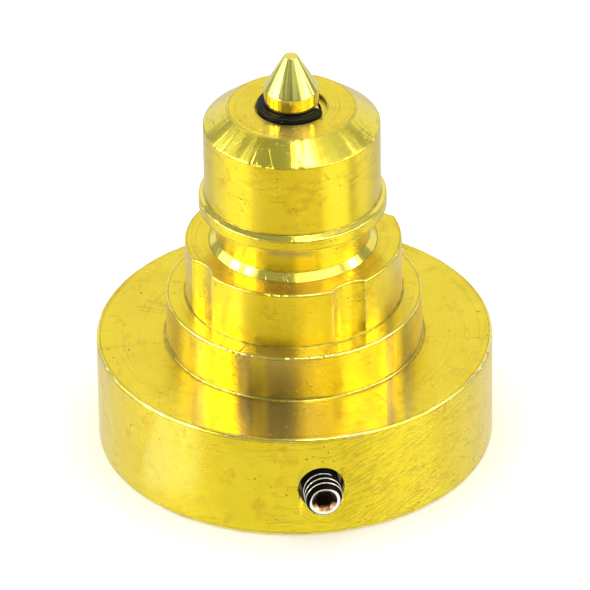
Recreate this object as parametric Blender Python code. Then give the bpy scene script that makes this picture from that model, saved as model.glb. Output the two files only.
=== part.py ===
"""Live center: a stepped brass housing with a 60 degree point that turns in two ball bearings.

Run with: blender --background --python part.py
Units are metres and +Z is up. The origin is on the spindle axis, in the plane of the flange's base.
The front of the part faces -Y. A bearing of the compass round the axis starts at the front and grows
towards +X.
"""

from math import asin, cos, pi, radians, sin, tau

import bmesh
import bpy
from mathutils import Matrix, Vector

MM = 0.001

# Housing, outside. The flange's diameter is the driving size.
FLANGE_R = 25.4 * MM
FLANGE_TOP = 14.5 * MM
LOWER_BARREL_R = 16.4 * MM
LOWER_BARREL_TOP = 20.9 * MM
UPPER_BARREL_R = 13.84 * MM
UPPER_BARREL_TOP = 28.7 * MM
NECK_R = 9.8 * MM
NECK_CONE = 0.92 * MM
RIB_R = 11.97 * MM
RIB_BOTTOM = 34.0 * MM
RIB_TOP = 35.55 * MM
NOSE_R = 11.25 * MM
NOSE_BOTTOM = 36.0 * MM
NOSE_SHOULDER = 45.9 * MM
NOSE_TOP_R = 8.15 * MM
NOSE_TOP = 48.25 * MM
FLANGE_EDGE = 0.35 * MM
BARREL_EDGE = 0.22 * MM
BARREL_FOOT_FILLET = 0.35 * MM

# Housing, inside.
SOCKET_R = 12.75 * MM
SOCKET_DEPTH = 12.5 * MM
SOCKET_MOUTH_EDGE = 0.6 * MM
PLUG_THREAD_R = 11.8 * MM
PLUG_THREAD_TOP = 16.4 * MM
LOWER_SEAT_R = 11.05 * MM
LOWER_SEAT_TOP = 23.6 * MM
LOWER_RELIEF_R = 9.3 * MM
MIDDLE_BORE_R = 8.0 * MM
UPPER_SEAT_R = 7.05 * MM
UPPER_SEAT_BOTTOM = 38.4 * MM
UPPER_SEAT_TOP = 44.0 * MM
UPPER_RELIEF_R = 5.8 * MM
RELIEF_DEPTH = 0.5 * MM
NOSE_BORE_R = 3.75 * MM
RING_RECESS_R = 4.72 * MM
RING_RECESS_FLOOR = 47.75 * MM

# Four flutes in the upper barrel.
FLUTE_COUNT = 4
FLUTE_FIRST = radians(31)
FLUTE_R = 4.13 * MM
FLUTE_DEPTH = 1.0 * MM
FLUTE_LIP = 0.2 * MM

# Spindle.
PIN_R = 3.5 * MM
TIP_R = 0.88 * MM
CONE_BOTTOM = 51.1 * MM
TIP_Z = 55.7 * MM
RING_GROOVE_R = 3.0 * MM
RING_GROOVE_BOTTOM = 47.75 * MM
RING_GROOVE_TOP = 49.1 * MM
COLLAR_R = 6.0 * MM
COLLAR_BOTTOM = 23.55 * MM
COLLAR_TOP = 25.5 * MM
JOURNAL_R = 4.0 * MM
CLIP_GROOVE_R = 3.6 * MM
CLIP_GROOVE_BOTTOM = 15.55 * MM
CLIP_GROOVE_TOP = 16.3 * MM
SPINDLE_BOTTOM = 14.95 * MM
SPINDLE_END_EDGE = 0.3 * MM

# Keeper ring on the spindle, at the nose.
RING_INNER_R = 3.1 * MM
RING_OUTER_R = 4.5 * MM
RING_BOTTOM = 47.85 * MM
RING_TOP = 49.0 * MM
RING_EDGE = 0.3 * MM
RING_GAP_START = radians(64)
RING_GAP = radians(70)

# Ball bearings: bore, outside and ball sizes of common metric bearings.
LOWER_BEARING = {
    "bottom": 16.45 * MM,
    "width": 7.0 * MM,
    "bore_r": 4.05 * MM,
    "outside_r": 11.0 * MM,
    "ball_r": 1.984 * MM,
    "pitch_r": 7.5 * MM,
    "balls": 7,
    "cage_height": 5.4 * MM,
    "cage_wall": 0.7 * MM,
}
UPPER_BEARING = {
    "bottom": 38.9 * MM,
    "width": 5.0 * MM,
    "bore_r": 3.55 * MM,
    "outside_r": 7.0 * MM,
    "ball_r": 1.1 * MM,
    "pitch_r": 5.25 * MM,
    "balls": 8,
    "cage_height": 3.4 * MM,
    "cage_wall": 0.45 * MM,
}
BALL_GAP = 0.1 * MM
POCKET_GAP = 0.12 * MM
LAND_SHARE = 0.45
RACE_EDGE = 0.2 * MM

# Pieces between and below the bearings.
SLEEVE_INNER_R = 3.65 * MM
SLEEVE_OUTER_R = 4.6 * MM
SLEEVE_GAP = 0.1 * MM
CLIP_INNER_R = 3.68 * MM
CLIP_OUTER_R = 5.4 * MM
CLIP_BOTTOM = 15.65 * MM
CLIP_TOP = 16.2 * MM
CLIP_GAP = radians(50)
PLUG_R = 11.7 * MM
PLUG_BOTTOM = 12.6 * MM
PLUG_TOP = 16.3 * MM
PLUG_EDGE = 0.4 * MM
PLUG_POCKET_R = 9.6 * MM
PLUG_POCKET_FLOOR = 14.6 * MM
PLUG_PIN_HOLE_R = 1.25 * MM
PLUG_PIN_HOLE_DEPTH = 1.2 * MM
PLUG_PIN_CIRCLE_R = 7.5 * MM

# Set screw in the flange's side, a number 10 screw 3/8 inch long, and the pad that it pushes.
SCREW_BEARING = radians(7.15)
SCREW_Z = 7.1 * MM
SCREW_R = 2.4 * MM
SCREW_LENGTH = 9.525 * MM
SCREW_OUT = 3.0 * MM
SCREW_EDGE = 0.4 * MM
SCREW_POINT_R = 1.5 * MM
HEX_ACROSS_FLATS = 2.38 * MM
HEX_DEPTH = 3.0 * MM
SCREW_HOLE_R = 2.5 * MM
SCREW_MOUTH_R = 2.95 * MM
SCREW_MOUTH_DEPTH = 3.0 * MM
PAD_R = 2.2 * MM
PAD_LENGTH = 3.2 * MM
PAD_GAP = 0.1 * MM
PAD_EDGE = 0.3 * MM

# A cutter runs this far past the metal that it cuts, so that no two faces lie in one plane.
CUT_MARGIN = 1.0 * MM
SCREW_HOLE_MARGIN = 2.0 * MM

# How finely round shapes are cut.
HOUSING_STEPS = 80
SPINDLE_STEPS = 48
RACE_STEPS = 36
SMALL_STEPS = 24
POCKET_STEPS = 12
BALL_STEPS = (10, 6)
HEX_SIDES = 6
ARC_STEPS = 4
SMALL_ARC_STEPS = 2
SHARP_ANGLE = radians(30)
SAME_PLACE = 1e-8


def clear_scene():
    for old in list(bpy.data.objects):
        bpy.data.objects.remove(old, do_unlink=True)


def make_material(name, color, metallic, roughness):
    material = bpy.data.materials.new(name)
    material.use_nodes = True
    shader = material.node_tree.nodes["Principled BSDF"]
    shader.inputs["Base Color"].default_value = (*color, 1.0)
    shader.inputs["Metallic"].default_value = metallic
    shader.inputs["Roughness"].default_value = roughness
    material.diffuse_color = (*color, 1.0)
    return material


def add_object(name, bm, material):
    """A new object from this bmesh, shaded smooth with its corners kept sharp."""
    bmesh.ops.recalc_face_normals(bm, faces=bm.faces)
    for face in bm.faces:
        face.smooth = True
    mesh = bpy.data.meshes.new(name)
    bm.to_mesh(mesh)
    bm.free()
    mesh.set_sharp_from_angle(angle=SHARP_ANGLE)
    mesh.materials.append(material)
    piece = bpy.data.objects.new(name, mesh)
    bpy.context.collection.objects.link(piece)
    return piece


def add_empty(name, location, rotation=(0, 0, 0)):
    empty = bpy.data.objects.new(name, None)
    empty.location = location
    empty.rotation_euler = rotation
    bpy.context.collection.objects.link(empty)
    return empty


def arc(center, radius, start, end, steps=ARC_STEPS):
    """Points of a profile along an arc, both ends included, with angles from +R towards +Z."""
    points = []
    for step in range(steps + 1):
        angle = start + (end - start) * step / steps
        points.append((center[0] + radius * cos(angle), center[1] + radius * sin(angle)))
    return points


def turned(name, profile, steps, material):
    """A solid of revolution about Z, from a closed profile of (radius, height) points."""
    bm = bmesh.new()
    corners = [bm.verts.new((radius, 0, height)) for radius, height in profile]
    edges = [bm.edges.new((a, b)) for a, b in zip(corners, corners[1:] + corners[:1])]
    on_axis = [e for e in edges if all(abs(v.co.x) < SAME_PLACE for v in e.verts)]
    edges = [e for e in edges if e not in on_axis]
    for edge in on_axis:
        bm.edges.remove(edge)
    bmesh.ops.spin(bm, geom=edges, cent=(0, 0, 0), axis=(0, 0, 1), angle=tau, steps=steps, use_merge=True)
    bmesh.ops.remove_doubles(bm, verts=bm.verts, dist=SAME_PLACE)
    bmesh.ops.dissolve_degenerate(bm, edges=bm.edges, dist=SAME_PLACE)
    return add_object(name, bm, material)


def add_cutter(name, bm, target, location=(0, 0, 0), rotation=(0, 0, 0), parent=None):
    """Cuts this bmesh out of the target with an exact Boolean and hides the cutter."""
    cutter = add_object(name, bm, target.data.materials[0])
    cutter.location = location
    cutter.rotation_euler = rotation
    cutter.parent = parent
    cutter.hide_render = True
    cutter.display_type = "WIRE"
    cut = target.modifiers.new(name, "BOOLEAN")
    cut.operation = "DIFFERENCE"
    cut.solver = "EXACT"
    cut.object = cutter
    return cutter


def cylinder_bmesh(radius, length, steps):
    """A cylinder along Z from 0 to length."""
    bm = bmesh.new()
    middle = Matrix.Translation((0, 0, length / 2))
    bmesh.ops.create_cone(
        bm, cap_ends=True, segments=steps, radius1=radius, radius2=radius, depth=length, matrix=middle
    )
    return bm


def ball_bmesh(radius):
    bm = bmesh.new()
    around, up = BALL_STEPS
    bmesh.ops.create_uvsphere(bm, u_segments=around, v_segments=up, radius=radius)
    return bm


def on_bearing(angle, distance, height=0.0):
    """The point at this compass bearing round the axis, counted from the front towards +X."""
    return Vector((distance * sin(angle), -distance * cos(angle), height))


def housing_outside():
    """The housing's outer profile, from the base's outer edge up to the nose's top."""
    foot_center = (LOWER_BARREL_R + BARREL_FOOT_FILLET, FLANGE_TOP + BARREL_FOOT_FILLET)
    return [
        (FLANGE_R - FLANGE_EDGE, 0),
        (FLANGE_R, FLANGE_EDGE),
        (FLANGE_R, FLANGE_TOP - FLANGE_EDGE),
        (FLANGE_R - FLANGE_EDGE, FLANGE_TOP),
        *arc(foot_center, BARREL_FOOT_FILLET, -pi / 2, -pi, SMALL_ARC_STEPS),
        (LOWER_BARREL_R, LOWER_BARREL_TOP - BARREL_EDGE),
        (LOWER_BARREL_R - BARREL_EDGE, LOWER_BARREL_TOP),
        (UPPER_BARREL_R, LOWER_BARREL_TOP),
        (UPPER_BARREL_R, UPPER_BARREL_TOP - BARREL_EDGE),
        (UPPER_BARREL_R - BARREL_EDGE, UPPER_BARREL_TOP),
        (NECK_R + NECK_CONE, UPPER_BARREL_TOP),
        (NECK_R, UPPER_BARREL_TOP + NECK_CONE),
        (NECK_R, RIB_BOTTOM),
        (RIB_R, RIB_BOTTOM),
        (RIB_R, RIB_TOP),
        (NOSE_R, NOSE_BOTTOM),
        (NOSE_R, NOSE_SHOULDER),
        (NOSE_TOP_R, NOSE_TOP),
    ]


def housing_inside():
    """The housing's bores, from the nose's top down to the socket's mouth."""
    return [
        (RING_RECESS_R, NOSE_TOP),
        (RING_RECESS_R, RING_RECESS_FLOOR),
        (NOSE_BORE_R, RING_RECESS_FLOOR),
        (NOSE_BORE_R, UPPER_SEAT_TOP + RELIEF_DEPTH),
        (UPPER_RELIEF_R, UPPER_SEAT_TOP + RELIEF_DEPTH),
        (UPPER_RELIEF_R, UPPER_SEAT_TOP),
        (UPPER_SEAT_R, UPPER_SEAT_TOP),
        (UPPER_SEAT_R, UPPER_SEAT_BOTTOM),
        (MIDDLE_BORE_R, UPPER_SEAT_BOTTOM),
        (MIDDLE_BORE_R, LOWER_SEAT_TOP + RELIEF_DEPTH),
        (LOWER_RELIEF_R, LOWER_SEAT_TOP + RELIEF_DEPTH),
        (LOWER_RELIEF_R, LOWER_SEAT_TOP),
        (LOWER_SEAT_R, LOWER_SEAT_TOP),
        (LOWER_SEAT_R, PLUG_THREAD_TOP),
        (PLUG_THREAD_R, PLUG_THREAD_TOP),
        (PLUG_THREAD_R, SOCKET_DEPTH),
        (SOCKET_R, SOCKET_DEPTH),
        (SOCKET_R, SOCKET_MOUTH_EDGE),
        (SOCKET_R + SOCKET_MOUTH_EDGE, 0),
    ]


def make_housing(material, screw_axis):
    housing = turned("housing", housing_outside() + housing_inside(), HOUSING_STEPS, material)
    flute_bottom = LOWER_BARREL_TOP + FLUTE_LIP
    flute_length = UPPER_BARREL_TOP - flute_bottom + CUT_MARGIN
    center_distance = UPPER_BARREL_R - FLUTE_DEPTH + FLUTE_R
    for index in range(FLUTE_COUNT):
        bearing = FLUTE_FIRST + tau * index / FLUTE_COUNT
        flute = cylinder_bmesh(FLUTE_R, flute_length, SMALL_STEPS)
        place = on_bearing(bearing, center_distance, flute_bottom)
        add_cutter(f"cut_flute_{index + 1}", flute, housing, place)
    hole_start = FLANGE_R - SOCKET_R + SCREW_HOLE_MARGIN
    hole = cylinder_bmesh(SCREW_HOLE_R, hole_start + SCREW_HOLE_MARGIN, SMALL_STEPS)
    mouth = cylinder_bmesh(SCREW_MOUTH_R, SCREW_MOUTH_DEPTH + SCREW_HOLE_MARGIN, SMALL_STEPS)
    add_cutter("cut_screw_hole", hole, housing, (0, 0, -hole_start), parent=screw_axis)
    add_cutter("cut_screw_mouth", mouth, housing, (0, 0, -SCREW_MOUTH_DEPTH), parent=screw_axis)
    return housing


def make_spindle(material):
    profile = [
        (0, SPINDLE_BOTTOM),
        (JOURNAL_R - SPINDLE_END_EDGE, SPINDLE_BOTTOM),
        (JOURNAL_R, SPINDLE_BOTTOM + SPINDLE_END_EDGE),
        (JOURNAL_R, CLIP_GROOVE_BOTTOM),
        (CLIP_GROOVE_R, CLIP_GROOVE_BOTTOM),
        (CLIP_GROOVE_R, CLIP_GROOVE_TOP),
        (JOURNAL_R, CLIP_GROOVE_TOP),
        (JOURNAL_R, COLLAR_BOTTOM),
        (COLLAR_R, COLLAR_BOTTOM),
        (COLLAR_R, COLLAR_TOP),
        (PIN_R, COLLAR_TOP),
        (PIN_R, RING_GROOVE_BOTTOM),
        (RING_GROOVE_R, RING_GROOVE_BOTTOM),
        (RING_GROOVE_R, RING_GROOVE_TOP),
        (PIN_R, RING_GROOVE_TOP),
        (PIN_R, CONE_BOTTOM),
        (TIP_R, TIP_Z),
        (0, TIP_Z),
    ]
    return turned("spindle", profile, SPINDLE_STEPS, material)


def make_split_ring(name, profile, gap_start, gap, steps, material):
    """A ring about Z with this cross-section, open over a gap that starts at a compass bearing."""
    bm = bmesh.new()
    corners = [bm.verts.new((radius, 0, height)) for radius, height in profile]
    section = bm.faces.new(corners)
    first_end = gap_start + gap - pi / 2
    bmesh.ops.rotate(bm, verts=bm.verts, cent=(0, 0, 0), matrix=Matrix.Rotation(first_end, 3, "Z"))
    bmesh.ops.spin(bm, geom=[section], cent=(0, 0, 0), axis=(0, 0, 1), angle=tau - gap, steps=steps)
    return add_object(name, bm, material)


def rounded_section(inner, outer, bottom, top, edge):
    """A rectangle in (radius, height) with round corners, anticlockwise."""
    return [
        *arc((outer - edge, bottom + edge), edge, -pi / 2, 0, SMALL_ARC_STEPS),
        *arc((outer - edge, top - edge), edge, 0, pi / 2, SMALL_ARC_STEPS),
        *arc((inner + edge, top - edge), edge, pi / 2, pi, SMALL_ARC_STEPS),
        *arc((inner + edge, bottom + edge), edge, pi, 3 * pi / 2, SMALL_ARC_STEPS),
    ]


def make_keeper_ring(material):
    section = rounded_section(RING_INNER_R, RING_OUTER_R, RING_BOTTOM, RING_TOP, RING_EDGE)
    return make_split_ring("keeper_ring", section, RING_GAP_START, RING_GAP, SMALL_STEPS, material)


def race_profile(wall_r, land_r, bearing, outer):
    """A bearing ring's section: a plain wall on one side and a ball groove on the other."""
    low = bearing["bottom"]
    high = low + bearing["width"]
    middle = (low + high) / 2
    groove_r = bearing["ball_r"] + BALL_GAP
    pitch_r = bearing["pitch_r"]
    half = asin(abs(land_r - pitch_r) / groove_r)
    reach = pi / 2 - half
    facing = 0 if outer else pi
    groove = arc((pitch_r, middle), groove_r, facing + reach, facing - reach)
    if not outer:
        groove.reverse()
    edge = RACE_EDGE if outer else -RACE_EDGE
    return [
        (land_r, low),
        (wall_r - edge, low),
        (wall_r, low + RACE_EDGE),
        (wall_r, high - RACE_EDGE),
        (wall_r - edge, high),
        (land_r, high),
        *groove,
    ]


def make_bearing(prefix, bearing, steel, cage_steel, cage_axis):
    """The two rings, the cage and the balls of one bearing. The cage and balls hang on cage_axis."""
    land_offset = LAND_SHARE * bearing["ball_r"]
    middle = bearing["bottom"] + bearing["width"] / 2
    pitch_r = bearing["pitch_r"]
    outer = race_profile(bearing["outside_r"], pitch_r + land_offset, bearing, True)
    inner = race_profile(bearing["bore_r"], pitch_r - land_offset, bearing, False)
    turned(f"{prefix}_outer_ring", outer, RACE_STEPS, steel)
    turned(f"{prefix}_inner_ring", inner, RACE_STEPS, steel)
    half_wall = bearing["cage_wall"] / 2
    half_height = bearing["cage_height"] / 2
    cage_profile = [
        (pitch_r - half_wall, -half_height),
        (pitch_r + half_wall, -half_height),
        (pitch_r + half_wall, half_height),
        (pitch_r - half_wall, half_height),
    ]
    cage = turned(f"{prefix}_cage", cage_profile, RACE_STEPS, cage_steel)
    cage.parent = cage_axis
    ball_mesh = None
    for index in range(bearing["balls"]):
        angle = tau * index / bearing["balls"]
        place = on_bearing(angle, pitch_r)
        pocket = cylinder_bmesh(bearing["ball_r"] + POCKET_GAP, 2 * bearing["cage_wall"], POCKET_STEPS)
        pocket_start = on_bearing(angle, pitch_r - bearing["cage_wall"])
        pocket_turn = (pi / 2, 0, angle)
        pocket_name = f"cut_{prefix}_pocket_{index + 1}"
        add_cutter(pocket_name, pocket, cage, pocket_start, pocket_turn, cage_axis)
        name = f"{prefix}_ball_{index + 1}"
        if ball_mesh is None:
            ball = add_object(name, ball_bmesh(bearing["ball_r"]), steel)
            ball_mesh = ball.data
        else:
            ball = bpy.data.objects.new(name, ball_mesh)
            bpy.context.collection.objects.link(ball)
        ball.location = place
        ball.parent = cage_axis
    cage_axis.location.z = middle


def make_sleeve(material):
    bottom = COLLAR_TOP + SLEEVE_GAP
    top = UPPER_BEARING["bottom"] - SLEEVE_GAP
    profile = [
        (SLEEVE_INNER_R, bottom),
        (SLEEVE_OUTER_R, bottom),
        (SLEEVE_OUTER_R, top),
        (SLEEVE_INNER_R, top),
    ]
    return turned("spacer_sleeve", profile, RACE_STEPS, material)


def make_circlip(material):
    section = [
        (CLIP_INNER_R, CLIP_BOTTOM),
        (CLIP_OUTER_R, CLIP_BOTTOM),
        (CLIP_OUTER_R, CLIP_TOP),
        (CLIP_INNER_R, CLIP_TOP),
    ]
    return make_split_ring("spindle_circlip", section, -CLIP_GAP / 2, CLIP_GAP, SMALL_STEPS, material)


def make_plug(material):
    """The threaded plug between the bearings and the socket, with two holes for a pin spanner."""
    profile = [
        (0, PLUG_BOTTOM),
        (PLUG_R - PLUG_EDGE, PLUG_BOTTOM),
        (PLUG_R, PLUG_BOTTOM + PLUG_EDGE),
        (PLUG_R, PLUG_TOP),
        (PLUG_POCKET_R, PLUG_TOP),
        (PLUG_POCKET_R, PLUG_POCKET_FLOOR),
        (0, PLUG_POCKET_FLOOR),
    ]
    plug = turned("retaining_plug", profile, RACE_STEPS, material)
    for index, bearing in enumerate((pi / 2, -pi / 2)):
        hole = cylinder_bmesh(PLUG_PIN_HOLE_R, PLUG_PIN_HOLE_DEPTH + CUT_MARGIN, SMALL_STEPS)
        place = on_bearing(bearing, PLUG_PIN_CIRCLE_R, PLUG_BOTTOM - CUT_MARGIN)
        add_cutter(f"cut_pin_hole_{index + 1}", hole, plug, place)
    return plug


def make_set_screw(material, screw_axis):
    """The screw in its own frame: Z points out of the flange, and 0 is on the flange's side."""
    outer_end = SCREW_OUT
    inner_end = SCREW_OUT - SCREW_LENGTH
    profile = [
        (0, inner_end),
        (SCREW_POINT_R, inner_end),
        (SCREW_R, inner_end + (SCREW_R - SCREW_POINT_R)),
        (SCREW_R, outer_end - SCREW_EDGE),
        (SCREW_R - SCREW_EDGE, outer_end),
        (0, outer_end),
    ]
    screw = turned("set_screw", profile, SMALL_STEPS, material)
    screw.parent = screw_axis
    hex_r = HEX_ACROSS_FLATS / 2 / cos(pi / 6)
    socket = cylinder_bmesh(hex_r, HEX_DEPTH + CUT_MARGIN, HEX_SIDES)
    add_cutter("cut_hex_socket", socket, screw, (0, 0, outer_end - HEX_DEPTH), parent=screw_axis)
    return screw


def make_clamp_pad(material, screw_axis):
    outer_end = SCREW_OUT - SCREW_LENGTH - PAD_GAP
    profile = [
        (0, outer_end - PAD_LENGTH),
        (PAD_R - PAD_EDGE, outer_end - PAD_LENGTH),
        (PAD_R, outer_end - PAD_LENGTH + PAD_EDGE),
        (PAD_R, outer_end),
        (0, outer_end),
    ]
    pad = turned("clamp_pad", profile, SMALL_STEPS, material)
    pad.parent = screw_axis
    return pad


def main():
    clear_scene()
    bpy.context.scene.unit_settings.system = "METRIC"
    brass = make_material("housing_brass", (0.86, 0.66, 0.11), 1.0, 0.2)
    spindle_brass = make_material("spindle_brass", (0.88, 0.69, 0.14), 1.0, 0.14)
    black_steel = make_material("black_steel", (0.03, 0.03, 0.03), 0.4, 0.42)
    bearing_steel = make_material("bearing_steel", (0.68, 0.69, 0.70), 1.0, 0.16)
    cage_steel = make_material("cage_steel", (0.55, 0.55, 0.54), 1.0, 0.35)
    sleeve_steel = make_material("sleeve_steel", (0.50, 0.51, 0.52), 1.0, 0.32)
    clip_steel = make_material("clip_steel", (0.16, 0.15, 0.15), 1.0, 0.38)
    plug_steel = make_material("plug_steel", (0.45, 0.45, 0.46), 1.0, 0.35)
    screw_steel = make_material("screw_steel", (0.52, 0.51, 0.49), 1.0, 0.25)
    pad_brass = make_material("pad_brass", (0.80, 0.60, 0.14), 1.0, 0.35)

    outward = on_bearing(SCREW_BEARING, 1.0)
    facing = outward.to_track_quat("Z", "Y").to_euler()
    screw_axis = add_empty("screw_axis", on_bearing(SCREW_BEARING, FLANGE_R, SCREW_Z), facing)
    lower_cage_axis = add_empty("lower_cage_axis", (0, 0, 0))
    upper_cage_axis = add_empty("upper_cage_axis", (0, 0, 0))

    make_housing(brass, screw_axis)
    make_spindle(spindle_brass)
    make_keeper_ring(black_steel)
    make_bearing("lower", LOWER_BEARING, bearing_steel, cage_steel, lower_cage_axis)
    make_bearing("upper", UPPER_BEARING, bearing_steel, cage_steel, upper_cage_axis)
    make_sleeve(sleeve_steel)
    make_circlip(clip_steel)
    make_plug(plug_steel)
    make_set_screw(screw_steel, screw_axis)
    make_clamp_pad(pad_brass, screw_axis)


main()
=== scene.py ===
import random
from math import acos, asin, atan2, ceil, cos, degrees, exp, floor, pi, radians, sin, sqrt, tan, tau

import bmesh
import bpy
from mathutils import Matrix, Vector, noise


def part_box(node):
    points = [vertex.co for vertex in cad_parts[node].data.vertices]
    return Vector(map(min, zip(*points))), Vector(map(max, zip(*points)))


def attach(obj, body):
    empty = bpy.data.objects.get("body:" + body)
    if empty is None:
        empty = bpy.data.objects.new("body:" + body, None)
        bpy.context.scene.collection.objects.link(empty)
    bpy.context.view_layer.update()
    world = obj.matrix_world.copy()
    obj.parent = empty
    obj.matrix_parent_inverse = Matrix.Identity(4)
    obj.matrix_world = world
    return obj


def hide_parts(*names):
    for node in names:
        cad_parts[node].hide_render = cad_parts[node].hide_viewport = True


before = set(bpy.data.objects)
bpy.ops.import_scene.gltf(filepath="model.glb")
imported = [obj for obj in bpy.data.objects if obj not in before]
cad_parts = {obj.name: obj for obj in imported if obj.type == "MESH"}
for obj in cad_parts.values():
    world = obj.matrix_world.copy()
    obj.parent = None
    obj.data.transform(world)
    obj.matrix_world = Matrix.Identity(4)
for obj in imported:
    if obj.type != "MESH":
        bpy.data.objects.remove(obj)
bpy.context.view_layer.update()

MM = 0.001

# ---------------------------------------------------------------- sizes from the frame
HOUSING_LOW, HOUSING_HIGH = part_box("housing")
SPINDLE_LOW, SPINDLE_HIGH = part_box("spindle")
RING_LOW, RING_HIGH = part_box("keeper_ring")
PLUG_LOW, PLUG_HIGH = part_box("retaining_plug")
FLANGE_R = HOUSING_HIGH.x
NOSE_TOP = HOUSING_HIGH.z
TIP_Z = SPINDLE_HIGH.z
SPINDLE_BOTTOM = SPINDLE_LOW.z
COLLAR_R = SPINDLE_HIGH.x

# ---------------------------------------------------------------- housing, as in the CAD
FLANGE_TOP = 14.5 * MM
LOWER_BARREL_R = 16.4 * MM
LOWER_BARREL_TOP = 20.9 * MM
UPPER_BARREL_R = 13.84 * MM
UPPER_BARREL_TOP = 28.7 * MM
NECK_R = 9.8 * MM
NECK_CONE = 0.92 * MM
RIB_R = 11.97 * MM
RIB_BOTTOM = 34.0 * MM
RIB_TOP = 35.55 * MM
NOSE_R = 11.25 * MM
NOSE_BOTTOM = 36.0 * MM
NOSE_SHOULDER = 45.9 * MM
NOSE_TOP_R = 8.15 * MM
SOCKET_R = 12.75 * MM
SOCKET_DEPTH = 12.5 * MM
PLUG_THREAD_R = 11.8 * MM
PLUG_THREAD_TOP = 16.4 * MM
LOWER_SEAT_R = 11.05 * MM
LOWER_SEAT_TOP = 23.6 * MM
LOWER_RELIEF_R = 9.3 * MM
MIDDLE_BORE_R = 8.0 * MM
UPPER_SEAT_R = 7.05 * MM
UPPER_SEAT_BOTTOM = 38.4 * MM
UPPER_SEAT_TOP = 44.0 * MM
UPPER_RELIEF_R = 5.8 * MM
RELIEF_DEPTH = 0.5 * MM
NOSE_BORE_R = 3.75 * MM
RING_RECESS_R = 4.56 * MM
RING_RECESS_FLOOR = 47.75 * MM
FLUTE_COUNT = 4
FLUTE_FIRST = radians(31)
FLUTE_R = 4.13 * MM
FLUTE_DEPTH = 1.0 * MM
FLUTE_LIP = 0.2 * MM

# ---------------------------------------------------------------- spindle and its ring
PIN_R = 3.5 * MM
TIP_R = 0.88 * MM
CONE_BOTTOM = 51.1 * MM
RING_GROOVE_R = 3.0 * MM
RING_GROOVE_BOTTOM = 47.75 * MM
RING_GROOVE_TOP = 49.1 * MM
COLLAR_BOTTOM = 23.55 * MM
COLLAR_TOP = 25.5 * MM
JOURNAL_R = 4.0 * MM
CLIP_GROOVE_R = 3.6 * MM
CLIP_GROOVE_BOTTOM = 15.55 * MM
CLIP_GROOVE_TOP = 16.3 * MM
RING_INNER_R = 3.1 * MM
RING_OUTER_R = 4.42 * MM
RING_GAP_START = radians(64)
RING_GAP = radians(70)
RING_GROOVE_TURN = radians(38)

# ---------------------------------------------------------------- set screw
SCREW_BEARING = radians(7.15)
SCREW_Z = 7.1 * MM
SCREW_R = 2.4 * MM
SCREW_LENGTH = 9.525 * MM
SCREW_OUT = 3.0 * MM
THREAD_PITCH = 25.4 * MM / 24
THREAD_DEPTH = 0.62 * MM
SCREW_END_R = 1.98 * MM
SCREW_SINK_R = 1.64 * MM
HEX_ACROSS_FLATS = 2.38 * MM
HEX_DEPTH = 2.9 * MM
SCREW_MOUTH_R = 2.98 * MM
SCREW_MOUTH_DEPTH = 3.0 * MM
SCREW_HOLE_R = 2.46 * MM

# ---------------------------------------------------------------- bearings and what lies between them
LOWER_BEARING = {
    "bottom": 16.45 * MM,
    "width": 7.0 * MM,
    "bore_r": 4.05 * MM,
    "outside_r": 11.0 * MM,
    "ball_r": 1.984 * MM,
    "pitch_r": 7.5 * MM,
    "balls": 7,
    "cage_height": 5.4 * MM,
    "cage_wall": 0.7 * MM,
}
UPPER_BEARING = {
    "bottom": 38.9 * MM,
    "width": 5.0 * MM,
    "bore_r": 3.55 * MM,
    "outside_r": 7.0 * MM,
    "ball_r": 1.1 * MM,
    "pitch_r": 5.25 * MM,
    "balls": 8,
    "cage_height": 3.4 * MM,
    "cage_wall": 0.45 * MM,
}
BALL_GAP = 0.1 * MM
POCKET_GAP = 0.12 * MM
LAND_SHARE = 0.45
RACE_EDGE = 0.2 * MM
SLEEVE_LOW, SLEEVE_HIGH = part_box("spacer_sleeve")
SLEEVE_INNER_R = 3.65 * MM
SLEEVE_OUTER_R = 4.6 * MM
CLIP_LOW, CLIP_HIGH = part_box("spindle_circlip")
CLIP_INNER_R = 3.68 * MM
CLIP_OUTER_R = 5.4 * MM
CLIP_GAP = radians(50)
PLUG_R = 11.7 * MM
PLUG_POCKET_R = 9.6 * MM
PLUG_POCKET_FLOOR = 14.6 * MM
PLUG_PIN_HOLE_R = 1.25 * MM
PLUG_PIN_HOLE_DEPTH = 1.2 * MM
PLUG_PIN_CIRCLE_R = 7.5 * MM
# The pad has to pass the crests of the hole's thread, at SCREW_HOLE_R - THREAD_DEPTH.
PAD_R = 1.78 * MM
PAD_LENGTH = 3.2 * MM
PAD_GAP = 0.1 * MM

HOUSING_STEPS = 720
RACE_STEPS = 144
SPINDLE_STEPS = 256
SCREW_STEPS = 96
ARC_STEPS = 4
SHARP_ANGLE = radians(35)


def on_bearing(angle, distance, height=0.0):
    """The point at this compass bearing round the axis, counted from the front (-Y) towards +X."""
    return Vector((distance * sin(angle), -distance * cos(angle), height))


# ================================================================ camera
# The camera stands far off, as for a catalogue picture, and looks down at the object.
CAMERA_ELEVATION = radians(33.5)
CAMERA_ROLL = radians(0.76)
MM_PER_PIXEL = 2 * FLANGE_R / MM / 393.0
CAMERA_DISTANCE = 8588 * MM_PER_PIXEL * MM
FRAME_PIXELS = 590
AIM_RIGHT = 1.07 * MM_PER_PIXEL * MM
AIM_UP = 130.15 * MM_PER_PIXEL * MM


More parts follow.
